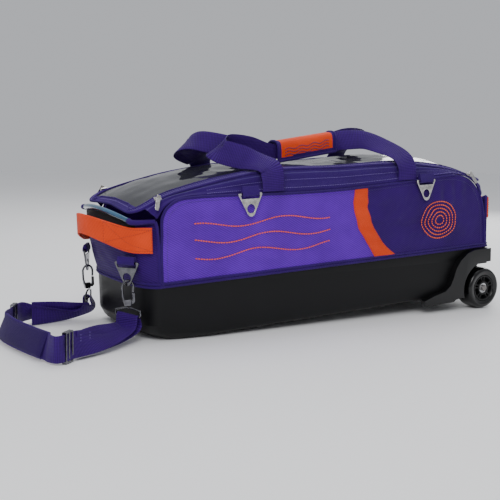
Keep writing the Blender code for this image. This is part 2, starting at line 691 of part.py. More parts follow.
def strap_pad():
    half = 0.0235
    leaning = Vector((0.42, 0.10, 0.90)).normalized()
    spots = [(-0.6250, -0.1650), (-0.6330, -0.1250), (-0.6405, -0.0750),
             (-0.6445, -0.0300), (-0.6440, 0.0120)]
    path = [floor_point(x, y, half * 0.96 + 0.0040) for x, y in spots]
    add("strap_pad", band(path, [leaning] * len(path), 2 * half, 0.009, 3), "web")


def glide_outline(width, height):
    return [(-width, -height), (width, -height), (width, height), (-width, height)]


def tri_glides():
    """Slide adjusters: two rails joined by bars that pass in front of and behind the webbing."""
    tall = floor_point(0, 0, 1) - floor_point(0, 0, 0)
    spots = (("near", (-0.5955, -0.1890), (0.80, 0.60)), ("far", (-0.6070, 0.0685), (0.54, 0.84)))
    for name, spot, ahead in spots:
        centre = floor_point(*spot, STRAP_WIDTH / 2 + 0.0040)
        place = ring_frame(centre, (*ahead, 0), -tall)
        frame = add("tri_glide_" + name, plate(glide_outline(0.0105, 0.0262), place, 0.0080), "gunmetal")
        cut(frame, plate(glide_outline(0.0078, 0.0238), place, 0.02), "glide_window_" + name)
        cut(frame, plate(glide_outline(0.0150, 0.0234), place, 0.0040), "glide_slot_" + name)
        ends = [place @ Vector((0, v, 0.0031)) for v in (-0.0248, 0.0248)]
        join_shape(frame, tube(ends, 0.0010, 6), "glide_bar_" + name)


# ---------------------------------------------------------------- zip sliders
SLIDER_X = {-1: -0.395, 1: 0.352}
SLIDER_TRAVEL = {-1: 0.080, 1: 0.040}


def slider_run(end):
    """Direction of +x along the straight stretch of zip that a slider covers."""
    start = SLIDER_X[end]
    stop = start - end * SLIDER_TRAVEL[end]
    slope = (along(LID_EDGE, stop) - along(LID_EDGE, start)) / (stop - start)
    return Vector((1, 0, slope)).normalized()


def sliders():
    spots = (("front_near", -1, -1), ("front_far", -1, 1), ("rear_near", 1, -1), ("rear_far", 1, 1))
    for name, end, side in spots:
        x = SLIDER_X[end]
        run = slider_run(end)
        outward = Vector((0, side * 0.80, 0.60)).normalized()
        outward = (outward - run * outward.dot(run)).normalized()
        centre = Vector((x, side * 0.1250, along(LID_EDGE, x) + 0.0004))
        place = Matrix.Identity(4)
        third = run.cross(outward)
        for column, axis in enumerate((run, third, outward)):
            for row in range(3):
                place[row][column] = axis[row]
        place = Matrix.Translation(centre) @ place
        tip = end * 0.0065
        body = [(tip, -0.0048), (tip, 0.0048), (-tip, 0.0034), (-tip, -0.0034)]
        slider = add("slider_" + name, plate(body, place, 0.0026), "nickel", tuple(centre))
        bridge = [(-0.0045, 0.0010), (-0.0030, 0.0052), (0.0030, 0.0052), (0.0045, 0.0010),
                  (0.0030, 0.0010), (0.0020, 0.0036), (-0.0020, 0.0036), (-0.0030, 0.0010)]
        lift = place @ Matrix.Rotation(math.pi / 2, 4, "X")
        join_shape(slider, plate(bridge, lift, 0.0022), "bridge_" + name)
        pull_tab(name, end, place)


def pull_tab(name, end, slider_place):
    """Pull that hangs from the slider's bridge, clear of the side below it."""
    pivot = slider_place @ Vector((0, 0, 0.0076))
    side = pivot.y / abs(pivot.y)
    down = Vector((end * 0.40, side * 0.40, -1)).normalized()
    across = down.cross(Vector((0, side, 0))).normalized()
    place = ring_frame(pivot, across, down)
    outline = [(-0.0035, 0.0035), (-0.0042, -0.0200), (-0.0030, -0.0255), (0.0030, -0.0255),
               (0.0042, -0.0200), (0.0035, 0.0035)]
    add("pull_" + name, plate(outline, place, 0.0014), "nickel", tuple(pivot))


# ---------------------------------------------------------------- wheels and housings
def wheel_housings():
    for name, side in (("near", -1), ("far", 1)):
        outline = [(0.2150, -0.0105), (0.2950, -0.0105), (0.3010, -0.0060), (0.3200, -0.0040)]
        outline += [(x, z) for x, z in arc((WHEEL_X, WHEEL_Z), 0.0580, 197, 93, 8)]
        outline += [(0.4040, 0.0690), (0.4040, 0.0985), (0.3560, 0.0985), (0.3340, 0.0930), (0.3140, 0.0790),
                    (0.3010, 0.0620), (0.2930, 0.0420), (0.2850, 0.0270), (0.2700, 0.0160), (0.2400, 0.0100),
                    (0.2100, 0.0015)]
        spread = Matrix(((1, 0, 0, 0), (0, 0, -1, side * 0.14025), (0, 1, 0, 0), (0, 0, 0, 1)))
        flange = plate(outline, spread, 0.0145)
        housing = add("wheel_housing_" + name, flange, "moulded")
        well = [(WELL_FRONT + GAP, 0.0005)]
        well += [(x, z) for x, z in arc((WHEEL_X, WHEEL_Z), 0.0530, 190, 100, 8)]
        well += [(0.4050, 0.0630), (0.4050, WELL_TOP - GAP), (WELL_FRONT + GAP, WELL_TOP - GAP)]
        low, high = WELL_WALL + GAP, 0.1345
        shift = Matrix(((1, 0, 0, 0), (0, 0, -1, side * (low + high) / 2), (0, 1, 0, 0), (0, 0, 0, 1)))
        join_shape(housing, plate(well, shift, high - low), "well_" + name)
        front, top = WELL_FRONT + GAP + 0.0004, WELL_TOP - GAP - 0.0004
        wall = [(front, 0.0009), (0.4080, 0.0009), (0.4080, top), (front, top)]
        inner = Matrix(((1, 0, 0, 0), (0, 0, -1, side * (low + 0.0024)), (0, 1, 0, 0), (0, 0, 0, 1)))
        join_shape(housing, plate(wall, inner, 0.0040), "inner_wall_" + name)


def wheels():
    segments = 24
    for name, side in (("near", -1), ("far", 1)):
        centre = (WHEEL_X, side * (WHEEL_FACE - WHEEL_WIDTH / 2), WHEEL_Z)
        h = WHEEL_WIDTH / 2
        tread = [(0.0285, -h + 0.004), (0.0385, -h + 0.001), (0.0425, -h + 0.003), (0.0448, -h + 0.009),
                 (WHEEL_R, -h + 0.017), (WHEEL_R, h - 0.017), (0.0448, h - 0.009), (0.0425, h - 0.003),
                 (0.0385, h - 0.001), (0.0285, h - 0.004)]
        add("tyre_" + name, turned(tread, centre, segments), "tyre", centre)
        core = [(0.0112, -h + 0.004), (0.0150, -h + 0.004), (0.0160, -h + 0.011), (0.0240, -h + 0.011),
                (0.0250, -h + 0.005), (0.0282, -h + 0.005), (0.0282, h - 0.005), (0.0250, h - 0.005),
                (0.0240, h - 0.011), (0.0160, h - 0.011), (0.0150, h - 0.004), (0.0112, h - 0.004),
                (0.0112, h - 0.0125), (0.0085, h - 0.0125), (0.0085, -h + 0.0125), (0.0112, -h + 0.0125)]
        add("hub_" + name, turned(core, centre, segments), "hub", centre)
        for place_name, sign in (("outer", side), ("inner", -side)):
            y0, y1 = sorted((sign * (h - 0.0122), sign * (h - 0.0052)))
            race = [(0.00425, y0), (0.0108, y0), (0.0108, y1), (0.00425, y1)]
            add("bearing_%s_%s" % (place_name, name), turned(race, centre, 20), "nickel", centre)
        head = side * (h + 0.0002)
        end = side * -(h + 0.0035)
        bolt = [(0.0, end), (0.0040, end), (0.0040, side * (h - 0.0050)), (0.0068, side * (h - 0.0050)),
                (0.0068, head - side * 0.0012), (0.0055, head), (0.0, head)]
        ring_count = 16
        rings = []
        for r, y in bolt[1:-1]:
            turn = [2 * math.pi * i / ring_count for i in range(ring_count)]
            rings.append([(centre[0] + r * math.cos(a), centre[1] + y, centre[2] + r * math.sin(a))
                          for a in turn])
        add("axle_bolt_" + name, loft(rings), "nickel", centre)


# ---------------------------------------------------------------- build
clear_scene()
LOOKS = {
    "moulded": material("moulded", (0.010, 0.010, 0.012), 0.55),
    "board": material("board", (0.030, 0.028, 0.026), 0.80),
    "foam": material("foam", (0.035, 0.035, 0.038), 0.95),
    "lining": material("lining", (0.020, 0.020, 0.024), 0.90),
    "purple": material("purple", (0.115, 0.050, 0.430), 0.70),
    "dark_purple": material("dark_purple", (0.035, 0.014, 0.180), 0.72),
    "web": material("web", (0.035, 0.015, 0.210), 0.65),
    "orange": material("orange", (0.850, 0.085, 0.018), 0.65),
    "teal": material("teal", (0.035, 0.140, 0.240), 0.25),
    "clear": material("clear", (0.160, 0.170, 0.180), 0.12),
    "gunmetal": material("gunmetal", (0.200, 0.200, 0.210), 0.30, 1.0),
    "nickel": material("nickel", (0.620, 0.610, 0.600), 0.28, 1.0),
    "tyre": material("tyre", (0.008, 0.008, 0.009), 0.22),
    "hub": material("hub", (0.010, 0.010, 0.011), 0.35),
}
BAG = bag_empty()
base_tub()
base_board()
foam_base()
dividers()
side_panels()
end_walls()
end_beads()
gussets()
lid()
end_handles()
carry_straps()
handle_wrap()
side_rings()
end_rings()
hooks()
swivels()
pull_strap()
strap_pad()
tri_glides()
sliders()
wheel_housings()
wheels()
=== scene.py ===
"""Looks of the rolling bowling bag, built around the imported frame."""
import json
import math

import bmesh
import bpy
from mathutils import Matrix, Vector, noise
from mathutils.bvhtree import BVHTree

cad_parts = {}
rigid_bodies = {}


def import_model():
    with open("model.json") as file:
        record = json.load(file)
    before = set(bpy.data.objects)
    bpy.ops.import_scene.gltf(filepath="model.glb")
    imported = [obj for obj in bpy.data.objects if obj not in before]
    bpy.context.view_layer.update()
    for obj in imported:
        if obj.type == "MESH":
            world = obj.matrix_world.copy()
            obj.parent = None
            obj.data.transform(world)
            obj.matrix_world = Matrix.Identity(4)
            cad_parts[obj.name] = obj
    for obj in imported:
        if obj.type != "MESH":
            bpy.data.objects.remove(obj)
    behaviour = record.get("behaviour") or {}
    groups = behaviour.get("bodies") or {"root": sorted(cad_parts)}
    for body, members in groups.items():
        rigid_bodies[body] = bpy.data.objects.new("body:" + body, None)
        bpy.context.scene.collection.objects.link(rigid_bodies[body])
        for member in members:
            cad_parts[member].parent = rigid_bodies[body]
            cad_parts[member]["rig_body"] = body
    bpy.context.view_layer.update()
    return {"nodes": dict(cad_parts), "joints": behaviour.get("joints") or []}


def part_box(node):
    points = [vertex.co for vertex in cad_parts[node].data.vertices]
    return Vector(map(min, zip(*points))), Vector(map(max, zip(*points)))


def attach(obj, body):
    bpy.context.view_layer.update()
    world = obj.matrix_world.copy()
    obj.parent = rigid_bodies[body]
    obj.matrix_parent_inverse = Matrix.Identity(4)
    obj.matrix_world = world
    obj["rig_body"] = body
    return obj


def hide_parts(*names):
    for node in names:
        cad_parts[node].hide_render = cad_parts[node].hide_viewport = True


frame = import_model()
JOINTS = {j["name"]: j for j in frame["joints"]}

# The bag's own axes lean with it; both follow from the lid's hinge line.
HINGE_Y, HINGE_Z = 0.124, 0.287
LENGTHWISE = -Vector(JOINTS["lid_hinge"]["axis"]).normalized()
UPWARD = LENGTHWISE.cross(Vector((0, 1, 0)))
TURN = Matrix((LENGTHWISE, (0, 1, 0), UPWARD)).transposed()
ORIGIN = Vector(JOINTS["lid_hinge"]["pos_m"]) - TURN @ Vector((0, HINGE_Y, HINGE_Z))
BAG = Matrix.Translation(ORIGIN) @ TURN.to_4x4()

HALF_WIDTH = 0.1325
TUB_TOP = 0.1005
WEB_THICK = 0.0018
STRAP_WIDTH = 0.045
THREAD = 0.00042
SIDES = {"near": -1, "far": 1}
ENDS = {"front": -1, "rear": 1}


# ---------------------------------------------------------------- small geometry tools
def curve(points, count):
    """Evenly spaced points on a smooth curve through the given ones."""
    points = [Vector(p) for p in points]
    ends = [2 * points[0] - points[1]] + points + [2 * points[-1] - points[-2]]
    dense = []
    for k in range(len(points) - 1):
        a, b, c, d = ends[k:k + 4]
        for s in range(16):
            u = s / 16
            dense.append(0.5 * (2 * b + (c - a) * u + (2 * a - 5 * b + 4 * c - d) * u ** 2
                                + (3 * b - a - 3 * c + d) * u ** 3))
    dense.append(points[-1])
    return even(dense, count)


def even(points, count):
    """The same line with count evenly spaced points."""
    lengths = [0.0]
    for a, b in zip(points, points[1:]):
        lengths.append(lengths[-1] + (b - a).length)
    out, k = [], 0
    for i in range(count):
        at = lengths[-1] * i / (count - 1)
        while k < len(points) - 2 and lengths[k + 1] < at:
            k += 1
        step = lengths[k + 1] - lengths[k] or 1.0
        out.append(points[k].lerp(points[k + 1], min(1.0, (at - lengths[k]) / step)))
    return out


def length_of(points):
    return sum((b - a).length for a, b in zip(points, points[1:]))


def along(points, x):
    """Height at x on a line of (x, z) points, smooth between them."""
    if x <= points[0][0]:
        return points[0][1]
    for k in range(len(points) - 1):
        (x0, z0), (x1, z1) = points[k], points[k + 1]
        if x <= x1:
            before = points[max(k - 1, 0)]
            after = points[min(k + 2, len(points) - 1)]
            m0 = (z1 - before[1]) / (x1 - before[0])
            m1 = (after[1] - z0) / (after[0] - x0)
            h, t = x1 - x0, (x - x0) / (x1 - x0)
            return ((2 * t ** 3 - 3 * t ** 2 + 1) * z0 + (t ** 3 - 2 * t ** 2 + t) * h * m0
                    + (3 * t ** 2 - 2 * t ** 3) * z1 + (t ** 3 - t ** 2) * h * m1)
    return points[-1][1]


def blend(value, low, high):
    t = min(1.0, max(0.0, (value - low) / (high - low)))
    return t * t * (3 - 2 * t)


def ripple(point, size, seed=0.0):
    """Smooth wandering value from -1 to 1, the same on every run."""
    return noise.noise(Vector(point) / size + Vector((seed, 2 * seed, -seed)))


def make(name, bm, material, body, stands_for=(), smooth=40, world=False):
    """Turn a bmesh in the bag's axes into a piece that rides on a body."""
    if not world:
        bm.transform(BAG)
    bmesh.ops.recalc_face_normals(bm, faces=bm.faces)
    mesh = bpy.data.meshes.new(name)
    bm.to_mesh(mesh)
    bm.free()
    mesh.shade_smooth()
    mesh.set_sharp_from_angle(angle=math.radians(smooth))
    obj = bpy.data.objects.new(name, mesh)
    bpy.context.scene.collection.objects.link(obj)
    for m in material if isinstance(material, (list, tuple)) else [material]:
        mesh.materials.append(m)
    return dress(obj, body, stands_for)


def dress(obj, body, stands_for=()):
    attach(obj, body)
    if stands_for:
        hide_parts(*stands_for)
    return obj


def loft(rings, close_ends=True, loop=False, bm=None):
    bm = bm or bmesh.new()
    rows = [[bm.verts.new(p) for p in ring] for ring in rings]
    pairs = list(zip(rows[:-1], rows[1:])) + ([(rows[-1], rows[0])] if loop else [])
    for low, high in pairs:
        for i in range(len(low)):
            j = (i + 1) % len(low)
            bm.faces.new((low[i], low[j], high[j], high[i]))
    if close_ends and not loop:
        bm.faces.new(rows[0][::-1])
        bm.faces.new(rows[-1])
    return bm


def tube(path, radius, sides=10, closed=False, bm=None):
    """Round bar along a line; radius may be a number or one number for each point."""
    radii = radius if isinstance(radius, (list, tuple)) else [radius] * len(path)
    rings, last = [], None
    for k, point in enumerate(path):
        if closed:
            ahead = path[(k + 1) % len(path)] - path[k - 1]
        else:
            ahead = path[min(k + 1, len(path) - 1)] - path[max(k - 1, 0)]
        ahead.normalize()
        side = last or ahead.orthogonal()
        side = (side - ahead * side.dot(ahead)).normalized()
        last = side
        other = ahead.cross(side)
        turn = [2 * math.pi * i / sides for i in range(sides)]
        rings.append([point + (side * math.cos(a) + other * math.sin(a)) * radii[k] for a in turn])
    return loft(rings, loop=closed, bm=bm)


def sheet_mesh(grid, thick, inward):
    """A grid of points as a sheet with thickness; inward gives the direction from outer to inner face."""
    bm = bmesh.new()
    outer = [[bm.verts.new(p) for p in row] for row in grid]
    inner = [[bm.verts.new(Vector(p) + inward(Vector(p)) * thick) for p in row] for row in grid]
    rows, columns = len(grid), len(grid[0])
    for i in range(rows - 1):
        for j in range(columns - 1):
            bm.faces.new((outer[i][j], outer[i][j + 1], outer[i + 1][j + 1], outer[i + 1][j]))
            bm.faces.new((inner[i][j], inner[i + 1][j], inner[i + 1][j + 1], inner[i][j + 1]))
    rim = [(0, j) for j in range(columns)] + [(i, columns - 1) for i in range(1, rows)]
    rim += [(rows - 1, j) for j in range(columns - 2, -1, -1)] + [(i, 0) for i in range(rows - 2, 0, -1)]
    for (a, b), (c, d) in zip(rim, rim[1:] + rim[:1]):
        bm.faces.new((outer[a][b], inner[a][b], inner[c][d], outer[c][d]))
    return bm


def patch(bottom, top, left, right, columns, rows):
    """Grid of points that fills four edge curves (bottom and top run along u, left and right along v)."""
    low, high = curve(bottom, columns), curve(top, columns)
    start, end = curve(left, rows), curve(right, rows)
    grid = []
    for i in range(rows):
        v = i / (rows - 1)
        row = []
        for j in range(columns):
            u = j / (columns - 1)
            edges = low[j] * (1 - v) + high[j] * v + start[i] * (1 - u) + end[i] * u
            corners = (low[0] * (1 - u) + low[-1] * u) * (1 - v) + (high[0] * (1 - u) + high[-1] * u) * v
            row.append(edges - corners)
        grid.append(row)
    return grid


def frames(path, directions):
    """For each point of a line: the point, its direction, the sideways and the upward unit vectors."""
    last = len(path) - 1
    for k, point in enumerate(path):
        ahead = (path[min(k + 1, last)] - path[max(k - 1, 0)]).normalized()
        side = (directions[k] - ahead * directions[k].dot(ahead)).normalized()
        yield point, ahead, side, ahead.cross(side)


def ribbon(path, across, width, thick, count):
    """Flat webbing with softly rounded edges, and a UV map in metres: u across it, v along it."""
    middle, sideways = curve(path, count), curve([Vector(a) for a in across], count)
    widths = width if isinstance(width, (list, tuple)) else [width] * len(path)
    wide = [w.x for w in curve([Vector((w, k * 0.2, 0)) for k, w in enumerate(widths)], count)]
    upper = [(-0.5, 0.25), (-0.485, 0.5), (-0.25, 0.5), (0, 0.5), (0.25, 0.5), (0.485, 0.5), (0.5, 0.25)]
    section = upper + [(-a, -b) for a, b in upper]
    bm = bmesh.new()
    rings = []
    for k, (point, _, side, up) in enumerate(frames(middle, sideways)):
        rings.append([point + side * (wide[k] * a) + up * (thick * b) for a, b in section])
    loft(rings, bm=bm)
    layer = bm.loops.layers.uv.new("UVMap")
    bm.verts.index_update()
    step, size = length_of(middle) / (count - 1), len(section)
    for face in bm.faces:
        for loop in face.loops:
            index = loop.vert.index
            loop[layer].uv = (section[index % size][0] * wide[index // size], index // size * step)
    return bm


def stitch_run(bm, path, normals, pitch=0.0046, long=0.0031, radius=THREAD):
    """A row of thread stitches along a line, each a small bar with sunk ends."""
    count = max(2, int(length_of(path) / pitch))
    spots = even(path, count)
    for k in range(count - 1):
        ahead = (spots[k + 1] - spots[k]).normalized()
        normal = normals(spots[k]) if callable(normals) else Vector(normals)
        up = (normal - ahead * normal.dot(ahead)).normalized()
        side = ahead.cross(up)
        rings = []
        for t, r, lift in ((0.0, 0.35, -0.3), (0.25, 1.0, 0.6), (0.75, 1.0, 0.6), (1.0, 0.35, -0.3)):
            middle = spots[k] + ahead * (long * t) + up * (radius * lift)
            rings.append([middle + (side * math.cos(a) + up * math.sin(a)) * (radius * r)
                          for a in (0, math.pi / 2, math.pi, 3 * math.pi / 2)])
        loft(rings, bm=bm)
    return bm


def surface_of(obj):
    """A tree of an object's faces, in the bag's axes."""
    bm = bmesh.new()
    bm.from_mesh(obj.data)
    bm.transform(BAG.inverted())
    tree = BVHTree.FromBMesh(bm)
    bm.free()
    return tree


def on_surface(tree, point, side, lift):
    """The point dropped onto a side of the bag along y, raised by lift."""
    hit = tree.ray_cast(Vector((point[0], side * 0.25, point[2])), Vector((0, -side, 0)))
    if hit[0] is None:
        return Vector(point)
    return hit[0] + Vector((0, side * lift, 0))


# ---------------------------------------------------------------- materials
class Look:
    """A material under construction: a Principled shader with its own colour, roughness and bump nodes."""

    def __init__(self, name, roughness, metallic=0.0, **sockets):
        self.material = bpy.data.materials.new(name)
        self.material.use_nodes = True
        self.tree = self.material.node_tree
        self.shader = self.tree.nodes["Principled BSDF"]
        self.shader.inputs["Roughness"].default_value = roughness
        self.shader.inputs["Metallic"].default_value = metallic
        for socket, value in sockets.items():
            self.shader.inputs[socket.replace("_", " ")].default_value = value
        self.place = self.node("ShaderNodeTexCoord")
        self.height = None

    def node(self, kind, **settings):
        made = self.tree.nodes.new(kind)
        for key, value in settings.items():
            if key[0].isupper():
                made.inputs[key.replace("_", " ")].default_value = value
            else:
                setattr(made, key, value)
        return made

    def link(self, a, b):
        self.tree.links.new(a, b)

    def noise(self, scale, detail=3.0, source="Object", stretch=None):
        made = self.node("ShaderNodeTexNoise", Scale=scale, Detail=detail)
        self.link(self.coordinates(source, stretch), made.inputs["Vector"])
        return made.outputs["Fac"]

    def coordinates(self, source="Object", stretch=None, rotation=(0, 0, 0)):
        if stretch is None and rotation == (0, 0, 0):
            return self.place.outputs[source]
        mapping = self.node("ShaderNodeMapping", Scale=stretch or (1, 1, 1), Rotation=rotation)
        self.link(self.place.outputs[source], mapping.inputs["Vector"])
        return mapping.outputs["Vector"]

    def ribs(self, period, direction="X", source="Object", rotation=(0, 0, 0)):
        """Parallel ribs a period apart, in metres."""
        made = self.node("ShaderNodeTexWave", Scale=math.pi / 10 / period, Distortion=0.0,
                         bands_direction=direction)
        self.link(self.coordinates(source, None, rotation), made.inputs["Vector"])
        return made.outputs["Fac"]

    def combine(self, a, b, operation="MULTIPLY"):
        made = self.node("ShaderNodeMath", operation=operation)
        for value, socket in zip((a, b), made.inputs):
            if isinstance(value, (int, float)):
                socket.default_value = value
            else:
                self.link(value, socket)
        return made.outputs["Value"]

    def between(self, fac, dark, light, low=0.0, high=1.0):
        """A colour that runs from dark to light as fac goes from low to high."""
        ramp = self.node("ShaderNodeValToRGB")
        ramp.color_ramp.elements[0].position, ramp.color_ramp.elements[1].position = low, high
        ramp.color_ramp.elements[0].color, ramp.color_ramp.elements[1].color = (*dark, 1), (*light, 1)
        self.link(fac, ramp.inputs["Fac"])
        return ramp.outputs["Color"]

    def colour(self, output):
        self.link(output, self.shader.inputs["Base Color"])

    def roughness(self, fac, low, high):
        span = self.node("ShaderNodeMapRange", To_Min=low, To_Max=high)
        self.link(fac, span.inputs["Value"])
        self.link(span.outputs["Result"], self.shader.inputs["Roughness"])

    def bump(self, fac, distance, strength=1.0):
        made = self.node("ShaderNodeBump", Distance=distance, Strength=strength)
        self.link(fac, made.inputs["Height"])
        if self.height is not None:
            self.link(self.height, made.inputs["Normal"])
        self.height = made.outputs["Normal"]
        self.link(self.height, self.shader.inputs["Normal"])


def shades(colour, low, high):
    return [tuple(min(1.0, c * k) for c in colour) for k in (low, high)]


def weave_look(name, colour, period=0.0036, sheen=0.06):
    """Coarse polyester weave: yarns crossing on the diagonal, slightly uneven in colour."""
    look = Look(name, 0.62, Sheen_Weight=sheen, Sheen_Roughness=0.4, Specular_IOR_Level=0.16)
    twill = look.ribs(period, "X", rotation=(0, math.radians(62), 0))
    yarns = look.combine(look.combine(twill, 0.7), look.combine(
        look.ribs(period * 0.4, "X", rotation=(0, math.radians(-45), 0)), 0.3), "ADD")
    cloud = look.noise(14.0, 4.0)
    fibre = look.noise(900.0, 2.0)
    mixed = look.combine(look.combine(yarns, 0.5), look.combine(cloud, 0.5), "ADD")
    look.colour(look.between(mixed, *shades(colour, 0.62, 1.38), low=0.25, high=0.75))
    look.roughness(fibre, 0.52, 0.72)
    look.bump(yarns, 0.0007, 0.9)
    look.bump(fibre, 0.00015, 0.5)
    return look.material


def webbing_look(name, colour, rib=0.0031):
    """Nylon webbing: ribs across the band with a shallow lengthwise grid, a little uneven in colour."""
    look = Look(name, 0.5, Sheen_Weight=0.05, Sheen_Roughness=0.35, Specular_IOR_Level=0.16)
    cross = look.ribs(rib, "Y", source="UV")
    grid = look.ribs(0.0058, "X", source="UV")
    weave = look.combine(look.combine(cross, 0.82), look.combine(grid, 0.18), "ADD")
    fibre = look.noise(1200.0, 2.0)
    cloud = look.noise(22.0, 3.0)
    mixed = look.combine(look.combine(weave, 0.55), look.combine(cloud, 0.45), "ADD")
    look.colour(look.between(mixed, *shades(colour, 0.6, 1.35), low=0.2, high=0.8))
    look.roughness(fibre, 0.42, 0.66)
    look.bump(weave, 0.0008, 1.0)
    look.bump(fibre, 0.0001, 0.4)
    return look.material


def moulded_look(name, colour, roughness=0.5, grain=700.0, coat=0.0):
    """Moulded plastic with a fine spark-eroded grain, a little scuffed."""
    look = Look(name, roughness, Coat_Weight=coat, Coat_Roughness=0.12, Specular_IOR_Level=0.22)
    cloud = look.noise(9.0, 5.0)
    fine = look.noise(grain, 3.0)
    look.colour(look.between(cloud, *shades(colour, 0.8, 1.3), low=0.3, high=0.75))
    look.roughness(cloud, roughness - 0.08, roughness + 0.1)
    look.bump(fine, 0.00018, 0.55)
    return look.material


def metal_look(name, colour, roughness=0.2):
    """Plated zinc casting: bright, with faint casting ripple and rubbed patches."""
    look = Look(name, roughness, 1.0)
    cloud = look.noise(120.0, 4.0)
    look.colour(look.between(cloud, *shades(colour, 0.7, 1.2), low=0.35, high=0.7))
    look.roughness(cloud, roughness - 0.06, roughness + 0.16)
    look.bump(look.noise(380.0, 2.0), 0.00012, 0.5)
    return look.material


def smooth_look(name, colour, roughness, coat=0.5, mottle=60.0):
    """Cast polyurethane or vinyl: glossy, with faint flow marks."""
    look = Look(name, roughness, Coat_Weight=coat, Coat_Roughness=0.06, Specular_IOR_Level=0.3)
    cloud = look.noise(mottle, 3.0)
    look.colour(look.between(cloud, *shades(colour, 0.75, 1.3), low=0.3, high=0.7))
    look.roughness(cloud, max(0.03, roughness - 0.05), roughness + 0.08)
    look.bump(look.noise(mottle * 0.4, 2.0), 0.0004, 0.35)
    return look.material


def window_look(name):
    """Smoked clear PVC with shallow waves."""
    look = Look(name, 0.06, Specular_IOR_Level=0.5, Coat_Weight=0.35, Coat_Roughness=0.04, Alpha=0.78)
    cloud = look.noise(7.0, 2.0)
    look.colour(look.between(cloud, (0.016, 0.017, 0.022), (0.045, 0.047, 0.055)))
    look.roughness(cloud, 0.04, 0.12)
    look.bump(look.noise(11.0, 1.0), 0.006, 0.6)
    look.material.surface_render_method = "BLENDED"
    return look.material


def thread_look(name, colour):
    look = Look(name, 0.55, Sheen_Weight=0.3)
    look.colour(look.between(look.noise(500.0), *shades(colour, 0.8, 1.25)))
    look.bump(look.noise(2500.0), 0.0001)
    return look.material


PURPLE, DARK_PURPLE, WEB_PURPLE = (0.112, 0.011, 0.420), (0.028, 0.002, 0.115), (0.032, 0.003, 0.130)
ORANGE = (0.92, 0.062, 0.009)
purple = weave_look("purple_weave", PURPLE)
dark_purple = weave_look("dark_purple_weave", DARK_PURPLE)
trim = weave_look("purple_trim", (0.032, 0.003, 0.140), 0.0012)
orange = weave_look("orange_weave", ORANGE, 0.0020)
webbing = webbing_look("purple_webbing", WEB_PURPLE)
lining = weave_look("black_lining", (0.010, 0.010, 0.013), 0.0014)
moulded = moulded_look("black_moulded", (0.0036, 0.0037, 0.0042), 0.44)
fender = moulded_look("black_fender", (0.0040, 0.0041, 0.0047), 0.30, 900.0, 0.22)
hub_plastic = moulded_look("hub_plastic", (0.0040, 0.0040, 0.0046), 0.30, 1100.0, 0.15)
urethane = smooth_look("black_urethane", (0.0022, 0.0022, 0.0026), 0.20, 0.30)
teal = smooth_look("teal_vinyl", (0.020, 0.100, 0.190), 0.16, 0.8, 30.0)
gunmetal = metal_look("gunmetal", (0.15, 0.15, 0.165), 0.17)
nickel = metal_look("nickel", (0.72, 0.70, 0.67), 0.18)
steel = metal_look("bearing_steel", (0.60, 0.60, 0.61), 0.22)
bronze = metal_look("bolt_head", (0.20, 0.19, 0.185), 0.30)
window = window_look("smoked_window")
lilac_thread = thread_look("lilac_thread", (0.20, 0.13, 0.46))
dark_thread = thread_look("dark_thread", (0.030, 0.014, 0.12))
orange_thread = thread_look("orange_thread", (0.30, 0.016, 0.003))
bright_thread = thread_look("bright_thread", (0.95, 0.12, 0.010))
coil = thread_look("zip_coil", (0.070, 0.040, 0.22))
webbing_plain = weave_look("pad_cloth", (0.018, 0.002, 0.075), 0.0024)
foam_look = moulded_look("foam", (0.020, 0.020, 0.023), 0.85, 420.0)
board_look = moulded_look("board", (0.030, 0.027, 0.022), 0.7, 300.0)


# ---------------------------------------------------------------- camera, lights and floor
def camera():
    """The view of the bag from its front near corner."""
    heading, down, roll = math.radians(31.08), math.radians(8.956), math.radians(-1.023)
    ahead = Vector((math.sin(heading) * math.cos(down), math.cos(heading) * math.cos(down), -math.sin(down)))
    level = Vector((math.cos(heading), -math.sin(heading), 0))
    over = level.cross(ahead)
    right = level * math.cos(roll) + over * math.sin(roll)
    up = over * math.cos(roll) - level * math.sin(roll)
    data = bpy.data.cameras.new("camera")
    data.lens, data.sensor_width = 64.0, 36.0
    obj = bpy.data.objects.new("camera", data)
    obj.matrix_world = BAG @ (Matrix.Translation((-1.0611, -1.5405, 0.4107))
                              @ Matrix((right, up, -ahead)).transposed().to_4x4())
    bpy.context.scene.collection.objects.link(obj)
    bpy.context.scene.camera = obj


def area(name, place, target, size, power):
    data = bpy.data.lights.new(name, "AREA")
    data.size, data.energy = size, power
    obj = bpy.data.objects.new(name, data)
    obj.location = place
    obj.rotation_euler = (Vector(target) - Vector(place)).to_track_quat("-Z", "Y").to_euler()
    bpy.context.scene.collection.objects.link(obj)


def studio():
    area("key", (-1.6, -2.2, 2.3), (0, 0, 0.15), 1.8, 58)
    area("top", (0.5, 0.6, 2.6), (0.1, 0, 0.2), 2.2, 34)
    area("rim", (2.2, 1.4, 1.2), (0.2, 0, 0.15), 1.2, 20)
    world = bpy.data.worlds.new("studio")
    world.use_nodes = True
    world.node_tree.nodes["Background"].inputs["Color"].default_value = (0.93, 0.95, 1.0, 1)
    world.node_tree.nodes["Background"].inputs["Strength"].default_value = 0.55
    bpy.context.scene.world = world
    bm = bmesh.new()
    bmesh.ops.create_grid(bm, x_segments=2, y_segments=2, size=6.0)
    mesh = bpy.data.meshes.new("floor")
    bm.to_mesh(mesh)
    bm.free()
    floor = bpy.data.objects.new("floor", mesh)
    floor.location.z = -0.0005
    look = Look("floor", 0.75)
    look.colour(look.between(look.noise(3.0), (0.93, 0.93, 0.935), (0.96, 0.96, 0.965)))
    mesh.materials.append(look.material)
    bpy.context.scene.collection.objects.link(floor)


camera()
studio()


